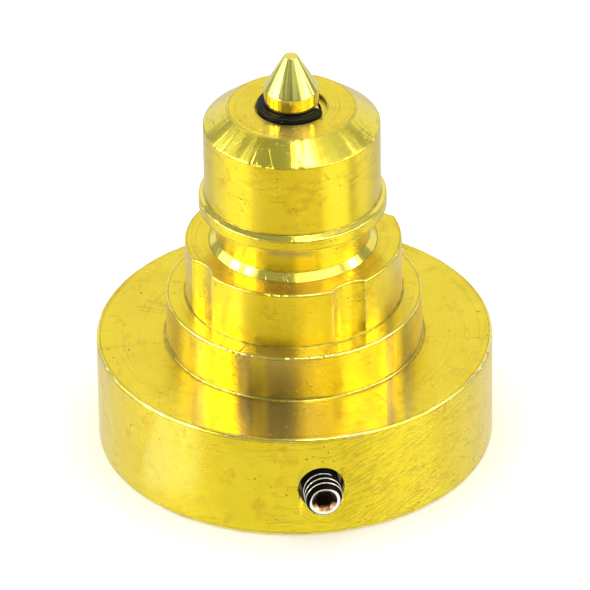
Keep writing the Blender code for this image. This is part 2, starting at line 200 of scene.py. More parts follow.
def make_camera():
    back = Vector((0, -cos(CAMERA_ELEVATION), sin(CAMERA_ELEVATION)))
    right = Vector((1, 0, 0))
    up = Vector((0, sin(CAMERA_ELEVATION), cos(CAMERA_ELEVATION)))
    place = back * CAMERA_DISTANCE
    forward = (right * AIM_RIGHT + up * AIM_UP - place).normalized()
    picture_up = up * cos(CAMERA_ROLL) + right * sin(CAMERA_ROLL)
    side = forward.cross(picture_up).normalized()
    picture_up = side.cross(forward)
    data = bpy.data.cameras.new("camera")
    data.sensor_width = 36.0
    data.lens = data.sensor_width * CAMERA_DISTANCE / (FRAME_PIXELS * MM_PER_PIXEL * MM)
    data.clip_start = 0.05
    data.clip_end = 20.0
    camera = bpy.data.objects.new("camera", data)
    bpy.context.scene.collection.objects.link(camera)
    turn = Matrix((side, picture_up, -forward)).transposed()
    camera.matrix_world = Matrix.Translation(place) @ turn.to_4x4()
    bpy.context.scene.camera = camera


# ================================================================ studio
DOME_R = 0.55
CARD_R = 0.5
# Each card: name, bearings and elevations that it spans in degrees, colour and strength.
WARM = (1.0, 0.91, 0.75)
COOL = (0.95, 1.0, 1.15)
WHITE = (1.0, 1.0, 1.0)
CARDS = [
    ("table_front", (-54, 38), (-88, 2), WARM, 0.82),
    ("table_left", (-96, -54), (-88, 2), WHITE, 1.16),
    ("table_right", (38, 74), (-88, 2), WHITE, 1.16),
    ("table_gap", (77, 89), (-88, 2), WARM, 0.5),
    ("front_dark", (-56, 8), (2, 53), COOL, 0.38),
    ("front_gleam", (-30, -22), (8, 50), WHITE, 0.62),
    ("front_middle", (8, 40), (2, 48), COOL, 0.68),
    ("left_window_1", (-79, -56), (8, 26), WHITE, 3.4),
    ("left_window_2", (-97, -83), (8, 26), WHITE, 3.4),
    ("left_window_3", (-118, -101), (8, 38), WHITE, 2.6),
    ("left_upper_1", (-79, -56), (26, 48), WHITE, 1.9),
    ("left_upper_2", (-97, -83), (26, 42), WHITE, 1.9),
    ("left_core_1", (-79, -63), (38, 48), WHITE, 14.0),
    ("left_core_2", (-100, -84), (33, 40), WHITE, 15.0),
    ("left_gap", (-83, -79), (8, 50), COOL, 0.35),
    ("left_gap_2", (-101, -97), (8, 34), COOL, 0.3),
    ("left_dark", (-136, -118), (2, 56), COOL, 0.45),
    ("right_window_1", (44, 65), (8, 26), WHITE, 2.8),
    ("right_window_2", (69, 88), (8, 26), WHITE, 3.0),
    ("right_window_3", (94, 106), (8, 36), WHITE, 2.4),
    ("right_upper_1", (44, 65), (26, 50), WHITE, 1.8),
    ("right_upper_2", (69, 88), (26, 42), WHITE, 1.8),
    ("right_glow", (16, 78), (46, 57), WHITE, 2.2),
    ("middle_glow", (2, 16), (50, 58), WHITE, 1.1),
    ("neck_dark", (-62, -19), (50, 59), COOL, 0.26),
    ("chamfer_right_dark", (70, 94), (57, 64), COOL, 0.55),
    ("chamfer_left_dark", (-124, -101), (38, 50), COOL, 0.5),
    ("point_dark", (-36, 36), (18, 31), COOL, 0.24),
    ("point_right_gleam", (41, 76), (15, 24), WHITE, 6.5),
    ("point_left_gleam", (-80, -40), (15, 24), WHITE, 6.5),
    ("point_far_right_dark", (86, 112), (2, 14), COOL, 0.5),
    ("point_far_left_dark", (-126, -86), (-4, 13), COOL, 0.42),
    ("table_back", (118, 242), (-88, 2), WHITE, 0.74),
    ("right_core", (85, 100), (33, 39), WHITE, 15.0),
    ("right_gap", (88, 94), (8, 33), COOL, 0.3),
    ("right_dark", (106, 124), (2, 56), COOL, 0.40),
    ("top_small_gleam", (-18, -8), (53, 59), WHITE, 0.9),
    ("top_left_dark", (-124, 0), (50, 86), COOL, 0.40),
    ("top_right_dark", (78, 124), (43, 58), COOL, 0.62),
    ("top_right_glow", (4, 60), (57, 84), WHITE, 1.2),
    ("top_right_window", (6, 52), (64, 76), WHITE, 11.0),
]
# The table by the object, as its side reflects it: name, place, radius, colour and strength.
NEAR_TABLE = [
    ("near_table", (0, 0, -0.0001), 0.05, WHITE, 0.93),
    ("near_gleam", (-0.029, -0.0235, -0.00008), 0.009, (1.0, 1.1, 4.0), 1.06),
]


def glow_material(name, color, strength):
    material = bpy.data.materials.new(name)
    material.use_nodes = True
    nodes = material.node_tree.nodes
    nodes.clear()
    emission = nodes.new("ShaderNodeEmission")
    emission.inputs["Color"].default_value = (*color, 1)
    emission.inputs["Strength"].default_value = strength
    output = nodes.new("ShaderNodeOutputMaterial")
    material.node_tree.links.new(emission.outputs[0], output.inputs["Surface"])
    material.cycles.emission_sampling = "NONE"
    return material


def reflected_only(piece):
    piece.visible_camera = False
    piece.visible_diffuse = False
    piece.visible_shadow = False
    piece.visible_transmission = False
    piece.visible_volume_scatter = False


def make_card(name, bearings, elevations, color, strength, distance=CARD_R):
    """A light panel or a flag: a patch of a ball round the object, seen only in reflections."""
    columns = max(2, ceil((bearings[1] - bearings[0]) / 4))
    rows = max(2, ceil((elevations[1] - elevations[0]) / 4))
    points = []
    for row in range(rows + 1):
        rise = radians(elevations[0] + (elevations[1] - elevations[0]) * row / rows)
        for column in range(columns + 1):
            turn = radians(bearings[0] + (bearings[1] - bearings[0]) * column / columns)
            points.append(on_bearing(turn, distance * cos(rise), distance * sin(rise)))
    faces = []
    for row in range(rows):
        for column in range(columns):
            start = row * (columns + 1) + column
            faces.append((start, start + 1, start + columns + 2, start + columns + 1))
    mesh = bpy.data.meshes.new(name)
    mesh.from_pydata(points, [], faces)
    mesh.materials.append(glow_material(name, color, strength))
    card = bpy.data.objects.new(name, mesh)
    bpy.context.scene.collection.objects.link(card)
    reflected_only(card)


def make_studio():
    world = bpy.data.worlds.new("studio")
    bpy.context.scene.world = world
    world.use_nodes = True
    background = world.node_tree.nodes["Background"]
    background.inputs["Color"].default_value = (1, 1, 1, 1)
    background.inputs["Strength"].default_value = 1.4
    make_card("tent", (-180, 180), (-90, 90), WHITE, 0.96, DOME_R)
    for index, (name, bearings, elevations, color, strength) in enumerate(CARDS):
        make_card(name, bearings, elevations, color, strength, CARD_R - 0.002 * index)
    for name, spot, radius, color, strength in NEAR_TABLE:
        bm = bmesh.new()
        bmesh.ops.create_circle(bm, cap_ends=True, segments=96, radius=radius)
        mesh = bpy.data.meshes.new(name)
        bm.to_mesh(mesh)
        bm.free()
        mesh.materials.append(glow_material(name, color, strength))
        near_table = bpy.data.objects.new(name, mesh)
        near_table.location = spot
        bpy.context.scene.collection.objects.link(near_table)
        reflected_only(near_table)
    bm = bmesh.new()
    bmesh.ops.create_grid(bm, x_segments=8, y_segments=8, size=1.5)
    mesh = bpy.data.meshes.new("floor")
    bm.to_mesh(mesh)
    bm.free()
    floor_piece = bpy.data.objects.new("floor", mesh)
    bpy.context.scene.collection.objects.link(floor_piece)
    paper = bpy.data.materials.new("paper")
    paper.use_nodes = True
    shader = paper.node_tree.nodes["Principled BSDF"]
    shader.inputs["Base Color"].default_value = (0.93, 0.93, 0.93, 1)
    shader.inputs["Roughness"].default_value = 0.9
    shader.inputs["Specular IOR Level"].default_value = 0.1
    mesh.materials.append(paper)
    floor_piece.location.z = -0.00005
    floor_piece.visible_glossy = False
    view = bpy.context.scene.view_settings
    view.view_transform = "Standard"


# ================================================================ materials
HAZE = 0.12
HAZE_TINT = (0.3, 0.4, 1.0)


class Nodes:
    """Short calls for building one material's nodes."""

    def __init__(self, name):
        self.material = bpy.data.materials.new(name)
        self.material.use_nodes = True
        self.tree = self.material.node_tree
        self.shader = self.tree.nodes["Principled BSDF"]

    def add(self, kind, **settings):
        node = self.tree.nodes.new(kind)
        for key, value in settings.items():
            setattr(node, key, value)
        return node

    def link(self, source, target):
        self.tree.links.new(source, target)

    def feed(self, socket, value):
        if isinstance(value, bpy.types.NodeSocket):
            self.link(value, socket)
        else:
            socket.default_value = value

    def math(self, operation, a, b=0.0, clamp=False):
        node = self.add("ShaderNodeMath", operation=operation, use_clamp=clamp)
        self.feed(node.inputs[0], a)
        self.feed(node.inputs[1], b)
        return node.outputs[0]

    def place(self):
        return self.add("ShaderNodeTexCoord").outputs["Object"]

    def split(self, vector):
        return self.add_split(vector).outputs

    def add_split(self, vector):
        node = self.add("ShaderNodeSeparateXYZ")
        self.link(vector, node.inputs[0])
        return node

    def join(self, x, y, z):
        node = self.add("ShaderNodeCombineXYZ")
        for socket, value in zip(node.inputs, (x, y, z)):
            self.feed(socket, value)
        return node.outputs[0]

    def noise(self, vector, scale, detail=2.0, roughness=0.5):
        node = self.add("ShaderNodeTexNoise")
        self.link(vector, node.inputs["Vector"])
        node.inputs["Scale"].default_value = scale
        node.inputs["Detail"].default_value = detail
        node.inputs["Roughness"].default_value = roughness
        return node.outputs["Fac"]

    def ramp(self, value, stops):
        """Maps a value through (position, grey or colour) stops."""
        node = self.add("ShaderNodeValToRGB")
        self.feed(node.inputs[0], value)
        elements = node.color_ramp.elements
        while len(elements) < len(stops):
            elements.new(0.5)
        for element, (position, color) in zip(elements, stops):
            element.position = position
            grey = isinstance(color, (int, float))
            element.color = (color, color, color, 1) if grey else (*color, 1)
        return node.outputs["Color"]

    def mix(self, factor, a, b, mode="MIX"):
        node = self.add("ShaderNodeMix", data_type="RGBA", blend_type=mode)
        self.feed(node.inputs["Factor"], factor)
        for socket, value in zip((node.inputs[6], node.inputs[7]), (a, b)):
            self.feed(socket, value if isinstance(value, bpy.types.NodeSocket) else (*value, 1))
        return node.outputs[2]

    def bump(self, height, distance, strength=1.0, before=None):
        node = self.add("ShaderNodeBump")
        node.inputs["Strength"].default_value = strength
        node.inputs["Distance"].default_value = distance
        self.link(height, node.inputs["Height"])
        if before is not None:
            self.link(before, node.inputs["Normal"])
        return node.outputs["Normal"]

    def attribute(self, name):
        return self.add("ShaderNodeAttribute", attribute_name=name).outputs["Fac"]


def pits(n, place, scale, share, size):
    """0 on sound metal and 1 in scattered round pits; share is how many cells hold one."""
    cells = n.add("ShaderNodeTexVoronoi", feature="F1", voronoi_dimensions="3D")
    n.link(place, cells.inputs["Vector"])
    cells.inputs["Scale"].default_value = scale
    chosen = n.math("LESS_THAN", n.split(cells.outputs["Color"])[0], share)
    near = n.ramp(cells.outputs["Distance"], [(0.0, 1.0), (size * 0.6, 1.0), (size, 0.0)])
    return n.math("MULTIPLY", chosen, near)


def scratches(n, x, y, z, lean, length_scale, width_scale, threshold):
    """1 along thin straight marks that run at a lean across a turned wall, and 0 elsewhere."""
    around = n.math("MULTIPLY", n.math("ARCTAN2", x, n.math("MULTIPLY", y, -1.0)), 0.02)
    along = n.math("ADD", n.math("MULTIPLY", around, cos(lean)), n.math("MULTIPLY", z, sin(lean)))
    across = n.math("SUBTRACT", n.math("MULTIPLY", z, cos(lean)), n.math("MULTIPLY", around, sin(lean)))
    spot = n.join(n.math("MULTIPLY", along, length_scale), n.math("MULTIPLY", across, width_scale), 0.7)
    return n.ramp(n.noise(spot, 1.0, 1.0, 0.4), [(threshold, 0.0), (threshold + 0.05, 1.0)])


# Painted dark reflections on the low front of the steps, as upright stripes: (distance to the right of the axis in
# mm, how dark).
DARK_REFLECTION_LINES = [
    (-13.2, 0.0), (-12.6, 0.5), (-11.6, 0.5), (-11.1, 0.0), (-7.5, 0.0), (-6.9, 0.8), (-5.7, 0.8),
    (-5.2, 0.25), (-3.9, 0.25), (-3.2, 0.7), (-1.2, 0.6), (0.6, 0.45), (3.2, 0.25), (4.4, 0.0),
]
DARK_REFLECTION_RIGHT_LINES = [(11.4, 0.0), (11.7, 0.8), (12.3, 0.8), (12.7, 0.0), (13.4, 0.0), (14.0, 0.5), (15.4, 0.0)]
DARK_REFLECTION_REACH = 20.0


def painted_dark_reflections(n, x, y, z, drift):
    """How dark the painted reflections on the front of the lower steps are: upright stripes below the top of the
    lower barrel.
    """
    wander = n.math("MULTIPLY", n.math("SUBTRACT", drift, 0.5), 0.0006)
    side = n.math("DIVIDE", n.math("ADD", x, wander), DARK_REFLECTION_REACH * 2 * MM)
    side = n.math("ADD", side, 0.5)
    stops = []
    for lines in (DARK_REFLECTION_LINES, DARK_REFLECTION_RIGHT_LINES):
        stops.append([(0.5 + place / DARK_REFLECTION_REACH / 2, dark) for place, dark in lines])
    dark = n.math("ADD", n.ramp(side, stops[0]), n.ramp(side, stops[1]))
    front = n.math("LESS_THAN", y, 0.0)
    tall = n.math("DIVIDE", z, 0.1)
    low = n.ramp(tall, [(0.2085, 1.0), (0.211, 0.0)])
    middle = n.ramp(side, [(0.40, 0.0), (0.44, 0.8), (0.55, 0.7), (0.57, 0.0)])
    # A band of painted shadow under the rib, and a patch of painted dark reflection on the nose in front of the
    # point.
    high = n.ramp(tall, [(0.317, 0.0), (0.322, 1.0), (0.338, 1.0), (0.341, 0.0), (0.4815, 0.0), (0.482, 1.2)])
    dark = n.math("ADD", n.math("MULTIPLY", dark, low), n.math("MULTIPLY", middle, high))
    return n.math("MULTIPLY", dark, front, clamp=True)


def turned_brass(name, base, deep, roughness, along, marks=1.0, anisotropy=0.95, aged=1.0, rubbed=False,
                 dark_reflections_painted=False):
    """Brass from the lathe. along is "height" on walls and "radius" on faces, across the tool's marks."""
    n = Nodes(name)
    place = n.place()
    x, y, z = n.split(place)
    radius = n.math("SQRT", n.math("ADD", n.math("MULTIPLY", x, x), n.math("MULTIPLY", y, y)))
    across = z if along == "height" else radius
    drift = n.noise(place, 90, 2.0)
    lane = n.math("ADD", across, n.math("MULTIPLY", drift, 0.0001))
    fine = n.noise(n.join(lane, 0.0, 0.0), 8000, 2.0, 0.6)
    coarse = n.noise(n.join(lane, 0.0, 0.3), 1800, 3.0, 0.6)
    broken = n.noise(n.join(n.math("MULTIPLY", x, 0.15), n.math("MULTIPLY", y, 0.15), lane), 6000, 2.0, 0.6)
    cloud = n.noise(place, 240, 4.0, 0.6)
    grain = n.noise(place, 3400, 3.0, 0.7)
    patch = n.ramp(n.noise(place, 130, 2.0), [(0.42, 0.0), (0.58, 1.0)])
    look = n.attribute("edge_wear_light_shade")
    flaw = n.noise(place, 1300, 3.0, 0.6)
    # Above 0 the edges are paler: worn brass with a painted highlight along each edge.
    worn_and_painted_light = n.math("MULTIPLY", n.math("MAXIMUM", look, 0.0), n.ramp(flaw, [(0.40, 0.1), (0.56, 1.0)]))
    # Below 0 the wear attribute asks for painted shade: dark lines in inner corners and beside the bright edges.
    painted_shade = n.math("MAXIMUM", n.math("MULTIPLY", look, -1.0), 0.0)
    painted_shade = n.math("MULTIPLY", painted_shade, n.ramp(flaw, [(0.3, 1.0), (0.66, 0.35)]), clamp=True)
    speck = n.math("MULTIPLY", pits(n, place, 1500, 0.34, 0.19), patch)
    dot = pits(n, place, 760, 0.05, 0.12)
    nibble = n.math("MULTIPLY", pits(n, place, 1900, 0.34, 0.3), n.math("ABSOLUTE", look))
    holes = n.math("MAXIMUM", n.math("MAXIMUM", speck, dot), nibble)
    holes = n.math("MULTIPLY", holes, aged, clamp=True)
    line = scratches(n, x, y, z, radians(-38), 260, 3800, 0.70)
    level = scratches(n, x, y, z, radians(3), 180, 5200, 0.70)
    marked = n.math("MULTIPLY", n.math("MAXIMUM", line, level), n.math("MULTIPLY", patch, 0.8 * aged), clamp=True)
    if rubbed:
        # The side of the flange was dragged over something, to the right of the set screw.
        half_turn = n.math("MULTIPLY", n.math("ARCTAN2", x, n.math("MULTIPLY", y, -1.0)), 0.5)
        zone = n.ramp(half_turn, [(0.06, 0.0), (0.14, 0.8), (0.36, 0.7), (0.52, 0.0)])
        drag = scratches(n, x, y, z, radians(27), 620, 3600, 0.58)
        hair = scratches(n, x, y, z, radians(24), 560, 6000, 0.57)
        drag = n.math("MULTIPLY", n.math("MAXIMUM", drag, n.math("MULTIPLY", hair, 0.7)), zone)
        marked = n.math("MAXIMUM", marked, drag)
    tone = n.mix(n.ramp(cloud, [(0.35, 0.0), (0.7, 1.0)]), base, deep)
    tone = n.mix(n.ramp(broken, [(0.35, 0.35), (0.62, 0.0)]), tone, deep)
    # On a face the tool's darker rings run a long way round; on a wall they are short dashes.
    share = 0.09 if along == "height" else 0.012
    rings = n.noise(n.join(n.math("MULTIPLY", x, share), n.math("MULTIPLY", y, share), lane), 4600, 2.0, 0.5)
    reach = patch if along == "height" else n.ramp(patch, [(0.0, 0.45), (1.0, 1.0)])
    ringed = n.math("MULTIPLY", n.ramp(rings, [(0.33, 0.45 * aged), (0.42, 0.0)]), reach)
    tone = n.mix(ringed, tone, (0.55, 0.41, 0.03))
    stain = n.ramp(n.noise(place, 330, 3.0, 0.7), [(0.56, 0.0), (0.72, 0.5 * aged)])
    tone = n.mix(stain, tone, (0.72, 0.42, 0.02))
    if dark_reflections_painted:
        # Painted dark reflections on the front of the lower steps, under the rib and on the nose.
        tone = n.mix(painted_dark_reflections(n, x, y, z, drift), tone, (0.50, 0.38, 0.15))
    # Worn edges with a painted highlight.
    tone = n.mix(n.math("MULTIPLY", worn_and_painted_light, 0.7), tone, (1.0, 0.90, 0.42))
    tone = n.mix(n.math("MULTIPLY", marked, 0.5), tone, (0.50, 0.37, 0.02))
    # Painted shade in inner corners and beside bright edges.
    tone = n.mix(n.math("MULTIPLY", painted_shade, 0.85), tone, (0.17, 0.11, 0.015))
    tone = n.mix(n.math("MULTIPLY", holes, 0.85), tone, (0.20, 0.12, 0.02))
    n.link(tone, n.shader.inputs["Base Color"])
    n.shader.inputs["Metallic"].default_value = 1.0
    rough = n.math("ADD", roughness - 0.05, n.math("MULTIPLY", cloud, 0.07))
    rough = n.math("ADD", rough, n.math("MULTIPLY", coarse, 0.03))
    rough = n.math("ADD", rough, n.math("MULTIPLY", n.math("MAXIMUM", holes, painted_shade), 0.3), clamp=True)
    n.link(rough, n.shader.inputs["Roughness"])
    n.shader.inputs["Anisotropic"].default_value = anisotropy
    n.shader.inputs["Anisotropic Rotation"].default_value = 0.25
    # A faint haze, as bare brass has after some time in the air.
    n.shader.inputs["Sheen Weight"].default_value = HAZE
    n.shader.inputs["Sheen Tint"].default_value = (*HAZE_TINT, 1)
    tangent = n.add("ShaderNodeTangent", direction_type="RADIAL", axis="Z")
    n.link(tangent.outputs[0], n.shader.inputs["Tangent"])
    normal = n.bump(fine, 0.0000012 * marks)
    normal = n.bump(coarse, 0.000004 * marks, before=normal)
    normal = n.bump(broken, 0.0000018 * marks, before=normal)
    normal = n.bump(grain, 0.000003 * aged, before=normal)
    normal = n.bump(n.math("SUBTRACT", 1.0, n.math("MAXIMUM", holes, marked)), 0.00003, before=normal)
    n.link(normal, n.shader.inputs["Normal"])
    return n.material


def steel(name, base, deep, roughness, grain_scale=1500, metallic=1.0):
    n = Nodes(name)
    place = n.place()
    cloud = n.noise(place, 300, 4.0, 0.6)
    grain = n.noise(place, grain_scale, 3.0, 0.6)
    speck = pits(n, place, 1800, 0.05, 0.25)
    tone = n.mix(n.ramp(cloud, [(0.3, 0.0), (0.7, 1.0)]), base, deep)
    tone = n.mix(n.math("MULTIPLY", speck, 0.7), tone, (0.08, 0.06, 0.05))
    n.link(tone, n.shader.inputs["Base Color"])
    n.shader.inputs["Metallic"].default_value = metallic
    rough = n.math("ADD", roughness - 0.05, n.math("MULTIPLY", grain, 0.1))
    n.link(n.math("ADD", rough, n.math("MULTIPLY", speck, 0.3), clamp=True), n.shader.inputs["Roughness"])
    normal = n.bump(grain, 0.000003)
    normal = n.bump(n.math("SUBTRACT", 1.0, speck), 0.00002, before=normal)
    n.link(normal, n.shader.inputs["Normal"])
    return n.material


def screw_thread_steel():
    """Bright plated crests over flanks and roots painted black, for oil and for the shade between the crests."""
    n = Nodes("screw_thread_steel")
    place = n.place()
    cloud = n.noise(place, 900, 3.0, 0.6)
    root_and_shade = n.attribute("root_and_shade")
    bright = n.mix(cloud, (0.95, 0.94, 0.92), (0.80, 0.74, 0.64))
    # Painted shade: the roots, and the rows inside the hole, turn near black.
    dark = n.ramp(root_and_shade, [(0.03, 0.0), (0.12, 1.0)])
    tone = n.mix(dark, bright, (0.008, 0.007, 0.005))
    n.link(tone, n.shader.inputs["Base Color"])
    n.link(n.math("ADD", 0.45, n.math("MULTIPLY", dark, 0.5)), n.shader.inputs["Metallic"])
    n.link(n.math("ADD", 0.2, n.math("MULTIPLY", root_and_shade, 0.25)), n.shader.inputs["Roughness"])
    n.shader.inputs["Specular IOR Level"].default_value = 0.2
    n.link(n.bump(n.noise(place, 5000, 3.0), 0.000003), n.shader.inputs["Normal"])
    return n.material


def screw_socket_steel():
    """The hex socket: painted shade makes it black inside, and the lower part of its mouth takes on the brass's
    warm light as a painted reflection.
    """
    n = Nodes("screw_socket_steel")
    place = n.place()
    x, y, z = n.split(place)
    outward = on_bearing(SCREW_BEARING, 1.0)
    reach = n.math("ADD", n.math("MULTIPLY", x, outward.x), n.math("MULTIPLY", y, outward.y))
    inside = n.math("MULTIPLY", n.math("SUBTRACT", FLANGE_R + SCREW_OUT, reach), 1000)
    shallow = n.ramp(inside, [(0.55, 1.0), (0.95, 0.0)])
    low = n.ramp(n.math("MULTIPLY", n.math("SUBTRACT", SCREW_Z, z), 500), [(0.2, 0.0), (0.4, 1.0)])
    patch = n.noise(place, 1500, 2.0, 0.5)
    warm = n.mix(n.ramp(patch, [(0.4, 0.0), (0.6, 1.0)]), (0.95, 0.62, 0.34), (0.55, 0.22, 0.08))
    # Painted shade inside the socket, and a painted warm reflection low in its mouth.
    tone = n.mix(n.math("MULTIPLY", low, shallow), (0.012, 0.004, 0.004), warm)
    n.link(tone, n.shader.inputs["Base Color"])
    n.shader.inputs["Metallic"].default_value = 0.85
    n.shader.inputs["Specular IOR Level"].default_value = 0.15
    n.link(n.math("ADD", 0.2, n.math("MULTIPLY", patch, 0.2)), n.shader.inputs["Roughness"])
    n.link(n.bump(patch, 0.00001), n.shader.inputs["Normal"])
    return n.material


def shaded_oily_hole():
    """The set screw's hole: brass painted dark for oil and for the shade in the hole, with a few bright chips."""
    n = Nodes("shaded_oily_hole")
    place = n.place()
    chips = pits(n, place, 1500, 0.2, 0.22)
    film = n.noise(place, 900, 3.0, 0.6)
    # Dark brass: oil, and painted shade inside the hole.
    tone = n.mix(film, (0.07, 0.05, 0.03), (0.34, 0.26, 0.14))
    tone = n.mix(chips, tone, (0.95, 0.9, 0.7))
    n.link(tone, n.shader.inputs["Base Color"])
    n.shader.inputs["Metallic"].default_value = 1.0
    n.link(n.math("ADD", 0.3, n.math("MULTIPLY", film, 0.2)), n.shader.inputs["Roughness"])
    n.link(n.bump(film, 0.00002), n.shader.inputs["Normal"])
    return n.material


def black_ring_material():
    n = Nodes("black_ring")
    place = n.place()
    x, y, z = n.split(place)
    lane = n.math("ADD", z, n.math("MULTIPLY", n.noise(place, 200), 0.0002))
    painted_highlight_streak = n.noise(n.join(lane, 0.0, 0.0), 9000, 2.0, 0.6)
    grain = n.noise(place, 3500, 3.0, 0.65)
    dust = pits(n, place, 2400, 0.10, 0.2)
    tone = n.mix(grain, (0.002, 0.002, 0.0015), (0.007, 0.007, 0.005))
    # Thin painted highlights along the ring.
    tone = n.mix(n.ramp(painted_highlight_streak, [(0.57, 0.0), (0.66, 0.9)]), tone, (0.26, 0.26, 0.22))
    tone = n.mix(n.math("MULTIPLY", dust, 0.7), tone, (0.4, 0.38, 0.32))
    n.link(tone, n.shader.inputs["Base Color"])
    n.link(n.math("ADD", 0.22, n.math("MULTIPLY", grain, 0.2)), n.shader.inputs["Roughness"])
    n.shader.inputs["Specular IOR Level"].default_value = 0.12
    normal = n.bump(painted_highlight_streak, 0.00002)
    n.link(n.bump(grain, 0.000006, before=normal), n.shader.inputs["Normal"])
    return n.material


# ================================================================ mesh tools
def rounded_outline(corners, arc_steps=ARC_STEPS):
    """Points along a closed or open (r, z) outline whose corners are (r, z, radius, look).

    look is above 0 on a worn edge with a painted highlight, and below 0 where shade is painted, as in an
    inner corner. A corner with a radius becomes an arc, with two support points on each side that keep
    the flats flat; beside a bright edge the nearer support point gets painted shade. Each point is
    (r, z, look, give), and give says how far it follows a dent in its edge.
    """
    points = []
    count = len(corners)
    for index, (r, z, radius, look) in enumerate(corners):
        if radius == 0:
            points.append((r, z, 0.0, 0.0))
            continue
        here = Vector((r, z))
        before = Vector(corners[(index - 1) % count][:2]) - here
        after = Vector(corners[(index + 1) % count][:2]) - here
        half = before.angle(after) / 2
        reach = radius / tan(half)
        center = here + (before.normalized() + after.normalized()).normalized() * (radius / sin(half))
        start = here + before.normalized() * reach - center
        end = here + after.normalized() * reach - center
        turn = start.angle_signed(end)
        near = min(0.7 * radius, 0.07 * MM) if look else 0.4 * radius
        far = near + (min(1.5 * radius, 0.15 * MM) if look else 0.6 * radius)
        give = max(0.0, look)
        # Painted shade on the support points: a dark line beside each bright edge, and fainter shade beside an
        # inner corner.
        shade = -0.85 * look if look > 0 else 0.6 * look
        for support, tint, share in ((far, 0.0, 0.0), (near, shade, 0.5)):
            point = here + before.normalized() * (reach + support)
            points.append((point.x, point.y, tint, give * share))
        for step in range(arc_steps + 1):
            spoke = start.copy()
            spoke.rotate(Matrix.Rotation(-turn * step / arc_steps, 2))
            point = center + spoke
            points.append((point.x, point.y, look, give))
        for support, tint, share in ((near, shade, 0.5), (far, 0.0, 0.0)):
            point = here + after.normalized() * (reach + support)
            points.append((point.x, point.y, tint, give * share))
    return points


def bearings_list(steps, extra=()):
    """Bearings of a turned mesh's columns: even steps, with some columns moved to exact places."""
    spots = [tau * i / steps for i in range(steps)]
    for angle in extra:
        angle %= tau
        nearest = min(range(len(spots)), key=lambda i: abs(spots[i] - angle))
        spots[nearest] = angle
    return sorted(spots)


def grid_mesh(name, rows, closed_outline, materials, row_material, edge_wear_light_shade):
    """A closed mesh from rows of points round the axis. A row of one point is a pole."""
    points = []
    starts = []
    weights = []
    for row, weight in zip(rows, edge_wear_light_shade):
        starts.append(len(points))
        points.extend(row)
        weights.extend([weight] * len(row) if isinstance(weight, float) else weight)
    faces = []
    kinds = []
    pairs = list(zip(range(len(rows)), range(1, len(rows))))
    if closed_outline:
        pairs.append((len(rows) - 1, 0))
    for a, b in pairs:
        size = max(len(rows[a]), len(rows[b]))
        for i in range(size):
            j = (i + 1) % size
            if len(rows[a]) == 1:
                face = (starts[a], starts[b] + j, starts[b] + i)
            elif len(rows[b]) == 1:
                face = (starts[a] + i, starts[a] + j, starts[b])
            else:
                face = (starts[a] + i, starts[a] + j, starts[b] + j, starts[b] + i)
            faces.append(face)
            kinds.append(row_material[a])
    mesh = bpy.data.meshes.new(name)
    mesh.from_pydata(points, [], faces)
    for material in materials:
        mesh.materials.append(material)
    mesh.polygons.foreach_set("material_index", kinds)
    mesh.polygons.foreach_set("use_smooth", [True] * len(faces))
    # Above 0 this holds edge wear with a painted highlight, below 0 painted shade.
    layer = mesh.attributes.new("edge_wear_light_shade", "FLOAT", "POINT")
    layer.data.foreach_set("value", weights)
    mesh.set_sharp_from_angle(angle=SHARP_ANGLE)
    piece = bpy.data.objects.new(name, mesh)
    bpy.context.scene.collection.objects.link(piece)
    return piece


def face_outward(piece):
    bm = bmesh.new()
    bm.from_mesh(piece.data)
    bmesh.ops.recalc_face_normals(bm, faces=bm.faces)
    bm.to_mesh(piece.data)
    bm.free()


def weigh_normals(piece):
    """Keeps broad faces flat where they meet small round edges."""
    modifier = piece.modifiers.new("flat faces", "WEIGHTED_NORMAL")
    modifier.keep_sharp = True
    modifier.weight = 80


def settle(piece):
    """Applies the modifiers, so that the mesh is final."""
    graph = bpy.context.evaluated_depsgraph_get()
    mesh = bpy.data.meshes.new_from_object(piece.evaluated_get(graph), depsgraph=graph)
    piece.modifiers.clear()
    piece.data = mesh


# ================================================================ dents along the edges
DENTS = random.Random(11)


def edge_dents(count, depth, width_mm, radius):
    """Random nicks along a round edge: (bearing, half width as an angle, depth)."""
    nicks = []
    for _ in range(count):
        nicks.append((
            DENTS.uniform(0, tau),
            DENTS.uniform(0.4, 1.0) * width_mm * MM / radius,
            depth * DENTS.uniform(0.25, 1.0) ** 2,
        ))
    return nicks


def dent_at(nicks, angle):
    total = 0.0
    for bearing, width, depth in nicks:
        gap = abs((angle - bearing + pi) % tau - pi)
        if gap < 2.5 * width:
            total = max(total, depth * exp(-(gap / width) ** 2))
    return total


def wavy(angle, radius, height, scale):
    """Small steady unevenness round a hand-finished edge, from -1 to 1."""
    return noise.noise(Vector((sin(angle) * radius, cos(angle) * radius, height)) * scale)


# ================================================================ housing
def flute_radius(angle):
    """How far out the metal reaches at this bearing where the flutes are cut."""
    center = UPPER_BARREL_R - FLUTE_DEPTH + FLUTE_R
    step = tau / FLUTE_COUNT
    off = (angle - FLUTE_FIRST + step / 2) % step - step / 2
    inside = FLUTE_R ** 2 - (center * sin(off)) ** 2
    if inside <= 0 or abs(off) > pi / 4:
        return UPPER_BARREL_R
    return min(UPPER_BARREL_R, center * cos(off) - sqrt(inside))


def flute_edges():
    center = UPPER_BARREL_R - FLUTE_DEPTH + FLUTE_R
    squares = center ** 2 + UPPER_BARREL_R ** 2 - FLUTE_R ** 2
    half = acos(squares / (2 * center * UPPER_BARREL_R))
    found = []
    for index in range(FLUTE_COUNT):
        middle = FLUTE_FIRST + tau * index / FLUTE_COUNT
        found += [middle - half, middle + half]
    return found


WALL, FACE, SLOPE, BORE, SIDE, CONE = range(6)


def kind_of(a, b):
    """Which material the band between two outline points takes, by its slope."""
    dr, dz = abs(b[0] - a[0]), abs(b[1] - a[1])
    if dz > 4 * dr:
        return WALL
    return FACE if dr > 4 * dz else SLOPE


